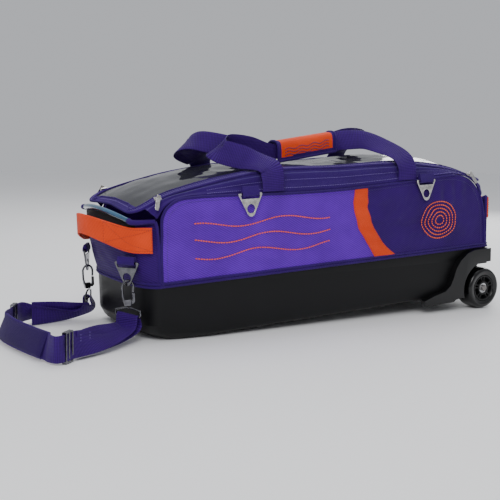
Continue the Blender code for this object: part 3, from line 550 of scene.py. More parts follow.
# ---------------------------------------------------------------- cloth
def billow(obj, pressure, cap, pinned, frames=16, spare=0.0, stiffness=15.0, gravity=0.0):
    """Cloth simulation on a piece, applied. Pinned gives a point's hold, 0 to 1, and cap its longest move."""
    rest = [v.co.copy() for v in obj.data.vertices]
    group = obj.vertex_groups.new(name="hold")
    for k, co in enumerate(rest):
        group.add([k], pinned(co), "REPLACE")
    step = obj.modifiers.new("cloth", "CLOTH")
    cloth = step.settings
    cloth.vertex_group_mass = "hold"
    cloth.effector_weights.gravity = gravity
    cloth.use_pressure = pressure != 0
    cloth.uniform_pressure_force = pressure
    cloth.tension_stiffness = cloth.compression_stiffness = stiffness
    cloth.shrink_min = cloth.shrink_max = -spare
    cloth.quality = 5
    step.collision_settings.use_collision = False
    scene = bpy.context.scene
    for number in range(1, frames + 1):
        scene.frame_set(number)
    shaped = obj.evaluated_get(bpy.context.evaluated_depsgraph_get())
    moved = [v.co.copy() for v in shaped.data.vertices]
    obj.modifiers.remove(step)
    obj.vertex_groups.remove(group)
    for vertex, old, new in zip(obj.data.vertices, rest, moved):
        shift = new - old
        if shift.length > cap:
            shift *= cap / shift.length
        vertex.co = old + shift
    scene.frame_set(1)


# ---------------------------------------------------------------- bag curves, as in the frame
LID_EDGE = [(-0.440, 0.240), (-0.400, 0.257), (-0.350, 0.269), (-0.250, 0.287), (-0.150, 0.298),
            (0.000, 0.296), (0.150, 0.296), (0.250, 0.286), (0.320, 0.272), (0.395, 0.247)]
PIPING_TOP = [(-0.360, 0.257), (-0.300, 0.2585), (-0.200, 0.255), (-0.100, 0.252), (0.020, 0.252),
              (0.150, 0.257), (0.240, 0.262), (0.300, 0.266)]
CROWN = [(-0.440, 0.004), (-0.300, 0.014), (-0.200, 0.009), (-0.100, 0.006), (0.050, 0.006),
         (0.180, 0.016), (0.300, 0.020), (0.400, 0.014)]
LID_EDGE_Y = 0.119


def lid_z(x, y):
    across = min(1.0, abs(y) / LID_EDGE_Y)
    return along(LID_EDGE, x) + along(CROWN, x) * (1 - across ** 2.2)


def panel_corners():
    """Side panel outline as left, top and right curves of (x, z)."""
    turn = [math.radians(a) for a in (172, 155, 137)]
    bend = [(-0.352 + 0.041 * math.cos(a), 0.214 + 0.041 * math.sin(a)) for a in turn]
    left = [(-0.3955, TUB_TOP), (-0.3955, 0.160), (-0.3935, 0.195)] + bend
    top = [bend[-1], (-0.362, 0.2545)] + [(x, along(PIPING_TOP, x)) for x in
                                         (-0.33, -0.25, -0.17, -0.09, 0.0, 0.09, 0.17, 0.25)]
    top += [(0.300, 0.2645), (0.335, 0.258), (0.360, 0.2435)]
    right = [(0.3965, TUB_TOP), (0.392, 0.170), (0.382, 0.212), (0.360, 0.2435)]
    return left, top, right


STRIPE_LEFT = [(0.034, 0.2505), (0.030, 0.222), (0.038, 0.180), (0.060, 0.143), (0.085, 0.1078)]
STRIPE_RIGHT = [(0.066, 0.2515), (0.067, 0.208), (0.082, 0.168), (0.112, 0.130), (0.140, 0.1078)]


def side_panels():
    """Padded fabric sides: bright in front of the curved stripe, dark behind it, with gathered wrinkles."""
    left, top, right = panel_corners()
    columns, rows = ((170, 50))
    for name, side in SIDES.items():
        def lifted(points, side=side):
            return [(x, side * HALF_WIDTH, z) for x, z in points]
        bottom = lifted([(-0.3955 + 0.792 * k / 8, TUB_TOP) for k in range(9)])
        grid = patch(bottom, lifted(top), lifted(left), lifted(right), columns, rows)
        for i, row in enumerate(grid):
            for j, p in enumerate(row):
                u, v = j / (columns - 1), i / (rows - 1)
                edge = min(1.0, 8 * min(u, 1 - u, v * 0.5, (1 - v) * 0.5))
                lift = 0.0035 * math.sin(math.pi * min(1, max(0, u))) ** 0.3 * math.sin(math.pi * v) ** 0.6
                lift += edge * 0.0046 * ripple((p.x * 0.6 + p.z * 0.9, 0, p.z * 1.9), 0.042, 3.1)
                lift += edge * 0.0012 * ripple((p.x * 1.1 - p.z * 0.7, 0, p.z * 0.8), 0.016, 6.4)
                gather = blend(p.x, 0.16, 0.26) * blend(0.40 - p.x, 0.0, 0.05) * blend(p.z, 0.18, 0.25)
                lift += edge * gather * 0.0026 * math.sin((p.x - 0.25) * 190 + 9 * (p.z - 0.25))
                seam = math.exp(-((p.x - stripe_middle(p.z)) / 0.030) ** 2)
                lift += edge * 0.0012 * seam * math.sin(p.z * 260 + p.x * 90)
                row[j] = p + Vector((0, side * max(-0.001, lift), 0))
        bm = sheet_mesh(grid, 0.0058, lambda p, s=side: Vector((0, -s, 0)))
        mats = [purple, dark_purple]
        panel = make("side_panel_fabric_" + name, bm, mats, "bag", ["side_panel_" + name])
        for face in panel.data.polygons:
            spot = BAG.inverted() @ face.center
            face.material_index = 1 if spot.x > stripe_middle(spot.z) else 0
        tree = surface_of(panel)
        stripe(name, side, tree)
        panel_trim(name, side, tree, left, top, right)


def stripe_middle(z):
    return (along([(q, p) for p, q in STRIPE_LEFT[::-1]], z)
            + along([(q, p) for p, q in STRIPE_RIGHT[::-1]], z)) / 2


def stripe(name, side, tree):
    """The curved orange stripe, sewn over the joint between the two purples."""
    a = curve([(x, 0, z) for x, z in STRIPE_LEFT], 60)
    b = curve([(x, 0, z) for x, z in STRIPE_RIGHT], 60)
    grid = []
    for p, q in zip(a, b):
        grid.append([on_surface(tree, p.lerp(q, t / 10), side, 0.0012) for t in range(11)])
    bm = sheet_mesh(grid, 0.0010, lambda p: Vector((0, -side, 0)))
    make("side_stripe_" + name, bm, orange, "bag")
    seams = bmesh.new()
    for line, other in ((a, b), (b, a)):
        path = [on_surface(tree, p.lerp(q, 0.06), side, 0.0014) for p, q in zip(line, other)]
        stitch_run(seams, path, (0, side, 0), 0.0042, 0.0028)
    make("side_stripe_stitches_" + name, seams, orange_thread, "bag")


def under_pull(x, z):
    """1 where the rear zip pull hangs over the piping, fading to 0 away from it."""
    return blend(x, 0.290, 0.325) * blend(z, 0.205, 0.235)


def panel_trim(name, side, tree, left, top, right):
    """Piping round the side panel, and the rows of stitches inside it."""
    outline = left[:-1] + top[:-1] + right[::-1]
    path = curve([(x, side * (HALF_WIDTH + 0.0008 - 0.0030 * under_pull(x, z)), z) for x, z in outline], 260)
    radii = [0.0027 - 0.0011 * under_pull(p.x, p.z) for p in path]
    make("side_piping_" + name, tube(path, radii, 10), trim, "bag")
    inner = [Vector((p.x * 0.972 + 0.0002, p.y, 0.172 + (p.z - 0.172) * 0.91)) for p in path]
    inner = [on_surface(tree, p, side, 0.0004) for p in inner]
    make("side_seam_stitches_" + name, stitch_run(bmesh.new(), inner, (0, side, 0)), dark_thread, "bag")
    quilted_lines(name, side, tree)


def quilted_lines(name, side, tree):
    """Plain decorative stitching: three wavy rows on the front part, and five rings on the rear part."""
    bm = bmesh.new()
    for k in range(3):
        z = 0.205 - 0.028 * k
        points = [(x / 1000, 0, z + 0.006 * math.sin(x / 1000 * 34 + k)) for x in range(-330, -20, 12)]
        path = [on_surface(tree, p, side, 0.0005) for p in curve(points, 120)]
        stitch_run(bm, path, (0, side, 0), 0.0052, 0.0042, 0.0013)
    for radius in (0.012, 0.021, 0.030, 0.039, 0.048):
        points = [(0.258 + radius * math.cos(a), 0, 0.172 + radius * math.sin(a) * 0.82)
                  for a in [2 * math.pi * i / 48 for i in range(49)]]
        path = [on_surface(tree, p, side, 0.0005) for p in points]
        stitch_run(bm, path, (0, side, 0), 0.0052, 0.0042, 0.0013)
    make("side_quilting_" + name, bm, bright_thread, "bag")


# ---------------------------------------------------------------- seams round the tub
def bow(t):
    return max(0.0, 1 - abs(t) ** 4) ** (1 / 1.5)


def seam_line(z, out):
    """A line round the bag where the fabric meets the tub."""
    wide = HALF_WIDTH + out
    steps = [math.sin(math.pi / 2 * (k / 16 - 1)) for k in range(33)]
    rear = [Vector((0.400 + out + 0.020 * bow(t), t * wide, z)) for t in steps]
    front = [Vector((-0.400 - out - 0.031 * bow(t), -t * wide, z)) for t in steps]
    return rear + front


def tub_seams():
    for name, z, out in (("lower", 0.1024, 0.0016), ("upper", 0.1078, 0.0012)):
        path = seam_line(z, out)
        path = even(path + [path[0]], 400)[:-1]
        make("tub_piping_" + name, tube(path, 0.0026, 8, closed=True), trim, "bag")


# ---------------------------------------------------------------- zip bands
GUSSET_LOW = [(-0.380, 0.2475)] + PIPING_TOP + [(0.335, 0.2600), (0.366, 0.2430)]
BAND_X = [-0.380, -0.345, -0.30, -0.25, -0.20, -0.15, -0.08, 0.0, 0.08, 0.15, 0.20, 0.25, 0.30, 0.335, 0.366]
BAND_FRONT = [(-0.4005, 0.1305, 0.2245), (-0.4065, 0.1265, 0.2305), (-0.4125, 0.1235, 0.2365),
              (-0.4185, 0.1205, 0.2425)]
BAND_REAR = [(0.3865, 0.1305, 0.2150), (0.3885, 0.1275, 0.2245), (0.3895, 0.1235, 0.2330),
             (0.3885, 0.1185, 0.2420)]


def zip_bands():
    """Fabric between the side panel and the lid, with its welt, zip coil and stitch rows."""
    for name, side in SIDES.items():
        def flipped(points, side=side):
            return [Vector((x, side * y, z)) for x, y, z in points]
        low = [(x, 0.1322, along(GUSSET_LOW, x) + 0.001) for x in BAND_X]
        low = [BAND_FRONT[0]] + low + [BAND_REAR[0]]
        high = [(x, 0.1203, along(LID_EDGE, x) - 0.0032) for x in BAND_X]
        high = [BAND_FRONT[-1]] + high + [BAND_REAR[-1]]
        grid = patch(flipped(low), flipped(high), flipped(BAND_FRONT), flipped(BAND_REAR), 150, 15)
        for i, row in enumerate(grid):
            v = i / 14
            for j, p in enumerate(row):
                roll = 0.0022 * math.sin(math.pi * v) + 0.0012 * math.sin(3 * math.pi * v)
                roll += 0.0010 * ripple(p, 0.030, 7.0) * math.sin(math.pi * v)
                row[j] = p + Vector((0, side * roll, 0.3 * roll))
        band = make("zip_band_" + name, sheet_mesh(grid, 0.0035, lambda p, s=side: Vector((0, -s, 0))), trim,
                    "bag", ["gusset_" + name])
        rows = {k: grid[k] for k in (3, 8, 12)}
        out = (0, side * 0.85, 0.5)
        threads = bmesh.new()
        for k in (3, 8):
            row = [p + Vector((0, side * 0.0004, 0)) for p in rows[k] if abs(p.x) < 0.300]
            stitch_run(threads, row, out, 0.0042, 0.0028)
        make("zip_band_stitches_" + name, threads, lilac_thread, "bag")
        teeth = bmesh.new()
        row = [p - Vector((0, side * (0.0006 + 0.0012 * blend(p.x, 0.27, 0.31)), 0)) for p in rows[12]]
        stitch_run(teeth, row, out, 0.0021, 0.0016, 0.0009)
        make("zip_coil_" + name, teeth, coil, "bag")


# ---------------------------------------------------------------- lid
def lid_point(x, y, lift=0.0):
    """A point on the lid; its near front corner sags a little."""
    droop = 0.007 * blend(-x, 0.36, 0.44) * blend(-y, 0.0, 0.11)
    for end, radius in ((x + 0.437, 0.034), (0.400 - x, 0.022)):
        if end < radius:
            y *= 1 - radius * (1 - math.sqrt(max(0.0, 1 - (1 - max(0.0, end) / radius) ** 2))) / LID_EDGE_Y
    return Vector((x, y, lid_z(x, y) - droop + lift))


def down(point):
    return Vector((0, 0, -1))


def lid_row(x, lift=0.0, half=0.103, steps=40):
    """Points across the lid from its near to its far side."""
    return [lid_point(x, half * (2 * k / steps - 1), lift) for k in range(steps + 1)]


def lid_ring(columns, half, lift, rear, front):
    """Closed line round the lid, with rear and front as an x and the y values of points there."""
    line = [lid_point(x, -half, lift) for x in columns]
    line += [lid_point(rear[0], y, lift) for y in rear[1]]
    line += [lid_point(x, half, lift) for x in columns[::-1]]
    line += [lid_point(front[0], y, lift) for y in front[1]]
    return even(line + [line[0]], 420)[:-1]


def lid():
    turn = [1 - math.cos(math.pi / 20 * k) for k in range(10)]
    columns = [-0.437 + 0.034 * t for t in turn] + [-0.403 + 0.781 * k / 110 for k in range(111)]
    columns += [0.400 - 0.022 * t for t in turn[::-1]]
    strips = {
        "near": [[lid_point(x, y) for x in columns] for y in (-0.119, -0.115, -0.111, -0.107, -0.103)],
        "far": [[lid_point(x, y) for x in columns] for y in (0.103, 0.107, 0.111, 0.115, 0.119)],
        "front": [lid_row(x) for x in (-0.437, -0.430, -0.423)],
        "rear": [lid_row(x) for x in (0.384, 0.392, 0.400)],
    }
    for name, grid in strips.items():
        made = make("lid_border_" + name, sheet_mesh(grid, 0.003, down), trim, "lid")
        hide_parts("lid_frame")
    path = lid_ring(columns, 0.119, -0.001, (0.400, (-0.08, -0.04, 0, 0.04, 0.08)),
                    (-0.437, (0.10, 0.06, 0.02, -0.02, -0.06, -0.10)))
    make("lid_piping", tube(path, 0.0026, 8, closed=True), trim, "lid")
    ring = lid_ring(columns[2:-2], 0.1035, 0.0004, (0.384, (-0.07, 0, 0.07)), (-0.4235, (0.07, 0, -0.07)))
    make("window_binding", tube(ring, 0.0017, 8, closed=True), trim, "lid")
    threads = bmesh.new()
    for y in (-0.1075, -0.1145, 0.1075, 0.1145):
        stitch_run(threads, [lid_point(x, y, 0.0004) for x in columns], (0, 0, 1), 0.0044, 0.0030)
    for x in (-0.4295, 0.3925):
        stitch_run(threads, lid_row(x, 0.0004, 0.10, 30), (0, 0, 1), 0.0044)
    make("lid_stitches", threads, lilac_thread, "lid")
    grid = []
    for i in range(33):
        y = -0.1035 + 0.207 * i / 32
        row = []
        for j in range(121):
            x = -0.4235 + 0.808 * j / 120
            edge_share = min(1.0, 6 * min(i / 32, 1 - i / 32, j / 120 * 4, (1 - j / 120) * 4))
            wave = 0.0030 * ripple((x, y * 0.7, 0), 0.075, 5.0) + 0.0012 * ripple((x, y, 0), 0.028, 9.0)
            row.append(lid_point(x, y, -0.0006 + wave * edge_share))
        grid.append(row)
    make("window_sheet", sheet_mesh(grid, 0.0009, down), window, "lid", ["lid_window"])


# ---------------------------------------------------------------- ends
def bead_point(y, end):
    s = (y - 0.010) / 0.110
    if end < 0:
        return Vector((-0.457 + 0.017 * s * s, y, 0.2375 - 0.0165 * ((y - 0.02) / 0.12) ** 2))
    return Vector((0.418 - 0.016 * s * s, y, 0.214 - 0.012 * (y / 0.11) ** 2))


def end_wall_point(t, level, end):
    bulge = 0.031 if end < 0 else 0.020
    low = Vector((end * (0.400 + bulge * bow(t)), t * HALF_WIDTH, TUB_TOP))
    top = bead_point(t * 0.118, end) - Vector((end * 0.002, 0, 0.0070))
    corner = Vector((end * 0.4025, t * 0.1300, 0.2215 if end < 0 else 0.2125))
    top = top.lerp(corner, blend(abs(t), 0.82, 1.0))
    return low.lerp(top, level) + Vector((end * 0.007 * math.sin(math.pi * level) * (1 - t * t), 0, 0))


def end_walls():
    for name, end in ENDS.items():
        grid = []
        for i in range(29):
            level = i / 28
            row = []
            for j in range(61):
                t = math.sin(math.pi / 2 * (j / 30 - 1))
                p = end_wall_point(t, level, end)
                swell = math.sin(math.pi * level) * min(1.0, 4 * (1 - abs(t)))
                swell *= 0.0016 + 0.0022 * ripple((p.y, p.z * 1.6, 0), 0.032, 2.0 + end)
                row.append(p + Vector((end * swell, 0, 0)))
            grid.append(row)
        bm = sheet_mesh(grid, 0.0050, lambda p, e=end: Vector((-e * (1 - 0.5 * abs(p.y) / HALF_WIDTH),
                                                               -0.8 * p.y / HALF_WIDTH, 0)))
        wall = make("end_fabric_" + name, bm, [dark_purple, lining], "bag", ["end_wall_" + name])
        for face in wall.data.polygons:
            spot = BAG.inverted() @ face.center
            lined = spot.z > bead_point(spot.y, end).z - 0.024 and abs(spot.y) < 0.103
            face.material_index = 1 if lined else 0
        path = [bead_point(-0.104 + 0.208 * k / 60, end) for k in range(61)]
        radii = [0.0045 * min(1.0, 0.45 + 0.3 * min(k, 60 - k)) for k in range(61)]
        make("bead_tube_" + name, tube(path, radii, 16), teal, "bag", ["end_bead_" + name])
        tails = bmesh.new()
        for side in SIDES.values():
            tip = Vector((end * 0.4035, side * 0.1295, 0.2200 if end < 0 else 0.2120))
            bend = bead_point(side * 0.110, end) + Vector((0, 0, 0.0008))
            tail = curve([bead_point(side * 0.098, end), bend, tip], 20)
            tube(tail, [0.0054 - 0.0016 * k / 19 for k in range(20)], 10, bm=tails)
            rise = [Vector((end * x, side * y, z)) for x, y, z in
                    ((0.3992, 0.1326, 0.102), (0.3995, 0.1322, 0.160), (0.4010, 0.1312, 0.205))]
            tube(curve(rise + [tip], 30), 0.0032, 8, bm=tails)
        make("corner_piping_" + name, tails, trim, "bag")
        end_handle(name, end)


def end_handle(name, end):
    """Grab handle with a boxed cross of stitches at each end."""
    reach, rise = (0.030, 0.024) if end < 0 else (0.024, 0.010)
    path, outs, widths = [], [], []
    for k in range(33):
        t = -0.97 + 1.94 * k / 32
        open_out = max(0.0, 1 - (t / 0.86) ** 2) ** 1.4
        wall = end_wall_point(t, 0.66, end)
        run = end_wall_point(t + 0.02, 0.66, end) - end_wall_point(t - 0.02, 0.66, end)
        out = Vector((end * abs(run.y), run.x * end * -1, 0)).normalized()
        middle = Vector((wall.x + end * reach * open_out, wall.y, 0.187 + rise * open_out))
        path.append(middle + out * 0.0078)
        outs.append(out)
        widths.append(0.046 - 0.009 * open_out)
    bm = ribbon(path, [(0, 0, 1)] * 33, widths, 0.0034, 160)
    make("grab_handle_" + name, bm, orange, "bag", ["end_handle_" + name])
    threads = bmesh.new()
    for ids in ((0, 8), (32, 24)):
        step = 1 if ids[1] > ids[0] else -1
        spots = [path[i] + outs[i] * 0.0020 for i in range(ids[0], ids[1] + step, step)]
        out = outs[(ids[0] + ids[1]) // 2]
        for a, b in ((0.019, 0.019), (-0.019, -0.019), (0.019, -0.019), (-0.019, 0.019)):
            line = [p + Vector((0, 0, a + (b - a) * i / (len(spots) - 1))) for i, p in enumerate(spots)]
            stitch_run(threads, line, out, 0.0038, 0.0026)
        for p in (spots[0], spots[-1]):
            line = [p + Vector((0, 0, -0.019 + 0.038 * i / 8)) for i in range(9)]
            stitch_run(threads, line, out, 0.0038, 0.0026)
    make("grab_handle_stitches_" + name, threads, orange_thread, "bag")


# ---------------------------------------------------------------- carry straps and wrap
def carry_straps():
    flat, up = (1, 0, 0), (0, 0, 1)
    front, rear = -0.161, 0.168
    near = [(front, -0.1365, 0.259), (front, -0.1355, 0.285), (front - 0.004, -0.1265, 0.3055),
            (front - 0.030, -0.098, 0.3190), (front - 0.075, -0.062, 0.3360),
            (front - 0.050, -0.036, 0.3440), (front + 0.020, -0.027, 0.3370), (-0.092, -0.024, 0.3275),
            (-0.070, -0.024, 0.3265), (-0.010, -0.024, 0.3330), (0.055, -0.024, 0.3400),
            (0.082, -0.028, 0.3440), (0.120, -0.050, 0.3440), (0.148, -0.085, 0.3290),
            (rear - 0.004, -0.1180, 0.3120), (rear, -0.1350, 0.290), (rear, -0.1365, 0.262)]
    far = [(front - 0.010, 0.1365, 0.259), (front - 0.010, 0.1355, 0.285), (front - 0.014, 0.1265, 0.3055),
           (front - 0.040, 0.098, 0.3190), (front - 0.092, 0.060, 0.3380),
           (front - 0.076, 0.026, 0.3520), (front - 0.010, 0.006, 0.3400), (-0.092, -0.006, 0.3275),
           (-0.070, -0.008, 0.3265), (-0.010, -0.008, 0.3330), (0.055, -0.008, 0.3400),
           (0.084, -0.004, 0.3440), (0.140, 0.012, 0.3480), (0.176, 0.050, 0.3440),
           (rear + 0.016, 0.0980, 0.3260), (rear + 0.014, 0.1245, 0.308), (rear + 0.014, 0.1355, 0.288),
           (rear + 0.014, 0.1365, 0.262)]
    near_turn = [up] * 7 + [(0.4, 0.2, 0.85), (0.9, 0.1, 0.35)]
    far_turn = [up] * 8 + [(0.3, -0.1, 0.9), (0.8, -0.2, 0.4)]
    for name, side, path, turn in (("near", -1, near, near_turn), ("far", 1, far, far_turn)):
        across = [flat] * 3 + [(0.9, 0.3 * side, 0.25), (0.3, 0.2 * side, 0.9)] + turn + [flat] * 3
        widths = [0.048] * 6 + [0.044, 0.031, 0.028, 0.028, 0.028, 0.038] + [0.048] * (len(path) - 12)
        make("carry_webbing_" + name, ribbon(path, across, widths, WEB_THICK, 260), webbing, "carry_" + name,
             ["carry_strap_" + name])


def handle_wrap():
    """Padded grip folded over both carry straps: orange face, purple binding and plain stitching."""
    outer = [(-0.0340, 0.000), (-0.0338, 0.013), (-0.0335, 0.026), (-0.0300, 0.0375), (-0.0215, 0.0410),
             (-0.0145, 0.0412), (-0.0075, 0.0410), (0.0015, 0.0365), (0.0050, 0.024), (0.0055, 0.006)]
    inner = [(0.0010, 0.006), (0.0003, 0.024), (-0.0030, 0.0335), (-0.0075, 0.0362), (-0.0145, 0.0362),
             (-0.0215, 0.0360), (-0.0270, 0.0330), (-0.0288, 0.026), (-0.0290, 0.013), (-0.0290, 0.000)]
    shell = curve([(0, y, z) for y, z in outer], 44) + curve([(0, y, z) for y, z in inner], 44)
    count = 41
    rings = []
    for k in range(count):
        u = k / (count - 1)
        rings.append([Vector((-0.0815 + 0.1415 * u, p.y, 0.3062 + 0.0150 * u + p.z)) for p in shell])
    bm = loft(rings)
    obj = make("wrap_shell", bm, [orange, trim], "carry_near", ["handle_wrap"])
    back = BAG.inverted()

    def near_edge(co):
        p = back @ co
        from_end = min(p.x + 0.0815, 0.060 - p.x)
        return min(from_end, p.z - 0.3062 - 0.0150 * (p.x + 0.08) / 0.14)

    billow(obj, 6.0, 0.0022, lambda co: 1.0 if near_edge(co) < 0.009 else 0.0, 12)
    for face in obj.data.polygons:
        face.material_index = 1 if near_edge(face.center) < 0.0085 else 0
    rim = bmesh.new()
    for k in (0, count - 1):
        tube([p + Vector((-0.0004 if k == 0 else 0.0004, 0, 0)) for p in rings[k][:44]], 0.0026, 8, bm=rim)
    for i in (0, 43):
        tube([ring[i] + Vector((0, 0, 0.0006)) for ring in rings], 0.0026, 8, bm=rim)
    make("wrap_binding", rim, trim, "carry_near")
    threads = bmesh.new()
    tree = surface_of(obj)
    for z in (0.011, 0.017, 0.023):
        line = [(-0.066 + 0.110 * k / 40, 0, 0.3075 + 0.0150 * k / 40 + z + 0.0022 * math.sin(k * 0.55))
                for k in range(41)]
        line = [on_surface(tree, p, -1, 0.0004) for p in line]
        stitch_run(threads, line, (0, -1, 0), 0.0042, 0.0033, 0.0010)
    make("wrap_stitching", threads, dark_thread, "carry_near")


# ---------------------------------------------------------------- pull strap
LEAN = math.atan2(-LENGTHWISE.z, LENGTHWISE.x) * -1
END_RING = Vector((-0.447, 0.098, 0.147))
END_TURN = math.radians(32)
HOOK_DROP, EYE_DROP = 0.0318, 0.0190
TALL = Vector((math.sin(LEAN), 0.0, math.cos(LEAN)))
PAD_LEAN = Vector((0.42, 0.10, 0.90)).normalized()


def floor_point(x, y, height):
    return Vector((x, y, -math.tan(LEAN) * (x + 0.375))) + TALL * height


def eye_bar(side):
    hook = Vector((END_RING.x, side * END_RING.y, END_RING.z - HOOK_DROP))
    turn = math.radians(6)
    u = Vector((math.cos(turn), side * math.sin(turn), 0))
    across = Vector((side * math.sin(END_TURN), math.cos(END_TURN), 0.0))
    return hook - u * 0.001 + Vector((0, 0, -0.0458 - EYE_DROP)), across


def strap_loop(name, side, run_in, run_out):
    """Webbing from the pad's end, over the eye's bar and back to where it is sewn to itself."""
    half = STRAP_WIDTH / 2 + 0.0008
    bar, across = eye_bar(side)
    across = across * -side
    out = Vector((-abs(across.y), side * abs(across.x), 0)).normalized()
    path = [floor_point(x, y, half + lift) for x, y, lift in run_in]
    path += [bar + out * 0.012 + Vector((0, 0, -0.018)), bar + out * 0.0045, bar + Vector((0, 0, 0.0042)),
             bar - out * 0.0045, bar - out * 0.004 + Vector((0, 0, -0.018))]
    path += [floor_point(x, y, half) for x, y in run_out]
    turning = (across * 0.35 + TALL).normalized()
    tilt = (across + TALL * 0.25).normalized()
    leans = [PAD_LEAN] * 2 + [TALL] * (len(run_in) - 3)
    leans += [turning, tilt, across, across, across, tilt, turning] + [TALL] * (len(run_out) - 1)
    bm = ribbon(path, leans, STRAP_WIDTH, WEB_THICK, 220)
    make("pull_webbing_" + name, bm, webbing, "pull_strap", ["strap_web_" + name])
    ends = [path[-1], path[-2]]
    threads = bmesh.new()
    facing = (ends[0] - ends[1]).cross(TALL).normalized() * side
    for shift in (0.006, 0.030):
        base = ends[0].lerp(ends[1], shift / (ends[0] - ends[1]).length) + facing * 0.0048
        row = [base + TALL * (-0.020 + 0.040 * k / 8) for k in range(9)]
        stitch_run(threads, row, facing, 0.0040, 0.0028)
    make("pull_webbing_stitches_" + name, threads, lilac_thread, "pull_strap")


def pull_strap():
    near_in = [(-0.6290, -0.1450, 0.003), (-0.6240, -0.1680, 0.003), (-0.6245, -0.1850, 0.003),
               (-0.6195, -0.2000, 0.0032), (-0.6085, -0.1985, 0.0032), (-0.5955, -0.1890, 0.0032),
               (-0.5820, -0.1790, 0.0032),
               (-0.5300, -0.1500, 0.0), (-0.4880, -0.1230, 0.0)]
    strap_loop("near", -1, near_in, [(-0.4780, -0.1130), (-0.5280, -0.1420), (-0.5740, -0.1695)])
    far_in = [(-0.6445, -0.0100, 0.003), (-0.6400, 0.0200, 0.003), (-0.6215, 0.0460, 0.0032),
              (-0.6070, 0.0685, 0.0032), (-0.5930, 0.0900, 0.0032), (-0.5800, 0.1060, 0.002),
              (-0.5600, 0.1130, 0.0),
              (-0.5300, 0.1150, 0.0), (-0.4920, 0.1150, 0.0)]
    strap_loop("far", 1, far_in, [(-0.4820, 0.1010), (-0.5240, 0.1030), (-0.5620, 0.1045)])
    strap_pad()


def strap_pad():
    """Hand pad of the pull strap: two padded faces with bound edges."""
    half = 0.0235
    spots = [(-0.6250, -0.1650), (-0.6330, -0.1250), (-0.6405, -0.0750), (-0.6445, -0.0300),
             (-0.6440, 0.0120)]
    path = [floor_point(x, y, half * 0.96 + 0.0040) for x, y in spots]
    middle = curve(path, 61)
    rings = []
    placed = list(frames(middle, [PAD_LEAN] * 61))
    for k, (point, _, side, up) in enumerate(placed):
        taper = min(1.0, 0.55 + min(k, 60 - k) / 8)
        section = [(math.copysign(abs(math.cos(a)) ** 0.28, math.cos(a)) * (half - 0.0016),
                    math.copysign(abs(math.sin(a)) ** 0.6, math.sin(a)) * 0.0040 * taper)
                   for a in [2 * math.pi * i / 40 for i in range(40)]]
        rings.append([point + side * a + up * b for a, b in section])
    obj = make("pad_shell", loft(rings), webbing_plain, "pull_strap", ["strap_pad"])
    billow(obj, 5.0, 0.0012, lambda co: 0.0, 8)
    rim = bmesh.new()
    for sign in (-1, 1):
        tube([point + side * (sign * (half - 0.0026)) for point, _, side, _ in placed], 0.0024, 8, bm=rim)
    make("pad_binding", rim, trim, "pull_strap")


# ---------------------------------------------------------------- hard pieces refined from the frame
def refined(node, material, width=0.0005, segments=2, angle=30):
    """A copy of a CAD node with rounded edges, in its place."""
    source = frame["nodes"][node]
    bm = bmesh.new()
    bm.from_mesh(source.data)
    bmesh.ops.remove_doubles(bm, verts=bm.verts, dist=1e-6)
    bmesh.ops.dissolve_limit(bm, angle_limit=math.radians(1), verts=bm.verts, edges=bm.edges)
    body = source["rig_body"]
    obj = make(node + "_finish", bm, material, body, [node], world=True, smooth=angle)
    bevel = obj.modifiers.new("edges", "BEVEL")
    bevel.width, bevel.segments = width, segments
    bevel.limit_method, bevel.angle_limit = "ANGLE", math.radians(angle)
    bevel.harden_normals = True
    bevel.use_clamp_overlap = True
    return obj


def hardware():
    for side in SIDES:
        for node, width, steps in (("end_ring_", 0.0007, 3), ("snap_hook_", 0.0004, 2), ("gate_", 0.0006, 2),
                                   ("swivel_eye_", 0.0003, 1), ("tri_glide_", 0.0004, 2)):
            refined(node + side, gunmetal, width, steps)
        refined("end_tab_" + side, trim, 0.0003, 2)
        refined("wheel_housing_" + side, fender, 0.0026, 4, 40)
        for end in ENDS:
            for node in ("slider", "pull"):
                refined("%s_%s_%s" % (node, end, side), nickel, 0.0004, 2)
    for end in ENDS:
        refined("side_ring_" + end, nickel, 0.0007, 3)
        refined("side_tab_" + end, trim, 0.0003, 2)


# ---------------------------------------------------------------- wheels
def spun(name, profile, centre, material, body, stands_for, segments=96):
    """Revolve a closed outline of (radius, y) about the axle."""
    rings = []
    for i in range(segments):
        angle = 2 * math.pi * i / segments
        rings.append([(centre.x + r * math.cos(angle), centre.y + y, centre.z + r * math.sin(angle))
                      for r, y in profile])
    return make(name, loft(rings, loop=True), material, body, stands_for, world=True)


def rounded(points, radius=0.0014, steps=4):
    """The closed outline with every corner turned into a small curve."""
    out = []
    count = len(points)
    for k in range(count):
        corner, before, after = (Vector(points[i % count]) for i in (k, k - 1, k + 1))
        a = corner + (before - corner).normalized() * min(radius, (before - corner).length * 0.4)
        b = corner + (after - corner).normalized() * min(radius, (after - corner).length * 0.4)
        for s in range(steps + 1):
            t = s / steps
            out.append(a * (1 - t) ** 2 + corner * 2 * t * (1 - t) + b * t ** 2)
    return out


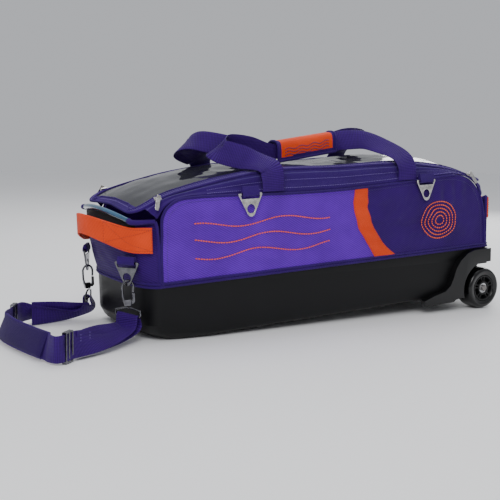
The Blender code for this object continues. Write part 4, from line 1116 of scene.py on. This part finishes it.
def wheels():
    for name, side in SIDES.items():
        low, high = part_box("tyre_" + name)
        centre = (low + high) / 2
        body = "wheel_" + name
        h, radius = 0.025, 0.0455
        tread = [(0.0285, -h + 0.0035), (0.0385, -h + 0.001), (0.0428, -h + 0.0035), (0.0449, -h + 0.009),
                 (radius, -h + 0.017), (radius, h - 0.017), (0.0449, h - 0.009), (0.0428, h - 0.0035),
                 (0.0385, h - 0.001), (0.0285, h - 0.0035)]
        spun("tyre_cast_" + name, rounded(tread, 0.003), centre, urethane, body, ["tyre_" + name])
        core = [(0.0112, -h + 0.004), (0.0150, -h + 0.004), (0.0160, -h + 0.014), (0.0235, -h + 0.014),
                (0.0250, -h + 0.004), (0.0282, -h + 0.004), (0.0282, h - 0.004), (0.0250, h - 0.004),
                (0.0235, h - 0.014), (0.0160, h - 0.014), (0.0150, h - 0.004), (0.0112, h - 0.004),
                (0.0112, h - 0.0125), (0.0085, h - 0.0125), (0.0085, -h + 0.0125), (0.0112, -h + 0.0125)]
        spun("hub_core_" + name, rounded(core, 0.0010), centre, hub_plastic, body, ["hub_" + name])
        hub_ribs(name, centre, body, h)
        for place, sign in (("outer", side), ("inner", -side)):
            bearing(name, place, centre + Vector((0, sign * (h - 0.0087), 0)), sign, body)
        refined("axle_bolt_" + name, bronze, 0.0008, 3)


def hub_ribs(name, centre, body, h):
    """Five pairs of ribs in each face of the hub."""
    bm = bmesh.new()
    for face in (-1, 1):
        for k in range(5):
            for twin in (-0.17, 0.17):
                angle = 2 * math.pi * k / 5 + twin + 0.4
                ray = Vector((math.cos(angle), 0, math.sin(angle)))
                turn = Vector((-ray.z, 0, ray.x))
                rings = []
                for r, wide, top in ((0.0145, 0.0013, 0.0045), (0.0195, 0.0011, 0.0060),
                                     (0.0255, 0.0014, 0.0048)):
                    middle = centre + ray * r
                    y0, y1 = face * (h - 0.0150), face * (h - top)
                    rings.append([middle + turn * s + Vector((0, y, 0)) for s, y in
                                  ((-wide, y0), (wide, y0), (wide * 0.8, y1), (-wide * 0.8, y1))])
                loft(rings, bm=bm)
    make("hub_ribs_" + name, bm, hub_plastic, body, world=True)


def bearing(name, place, centre, sign, body):
    """Ball bearing: two races with a shield sunk between them."""
    races = [(0.00425, -0.0035), (0.0108, -0.0035), (0.0108, 0.0035), (0.0088, 0.0035), (0.0086, 0.0027),
             (0.0062, 0.0027), (0.0060, 0.0035), (0.00425, 0.0035)]
    races = rounded([(r, y * sign) for r, y in races], 0.0003)
    spun("bearing_%s_race_%s" % (place, name), races, centre, steel, body,
         ["bearing_%s_%s" % (place, name)], 64)


# ---------------------------------------------------------------- inside
def inside():
    for name in ("divider_front", "divider_rear"):
        obj = refined(name, lining, 0.003, 3)
    refined("foam_base", foam_look, 0.004, 3)
    dress_node("base_board", board_look)
    refined("base_tub", moulded, 0.0030, 3, 35)


def dress_node(node, material):
    """A CAD node that stays, with a better material."""
    mesh = frame["nodes"][node].data
    mesh.materials.clear()
    mesh.materials.append(material)


tub_seams()
zip_bands()
lid()
end_walls()
carry_straps()
handle_wrap()
pull_strap()
hardware()
wheels()
inside()

side_panels()
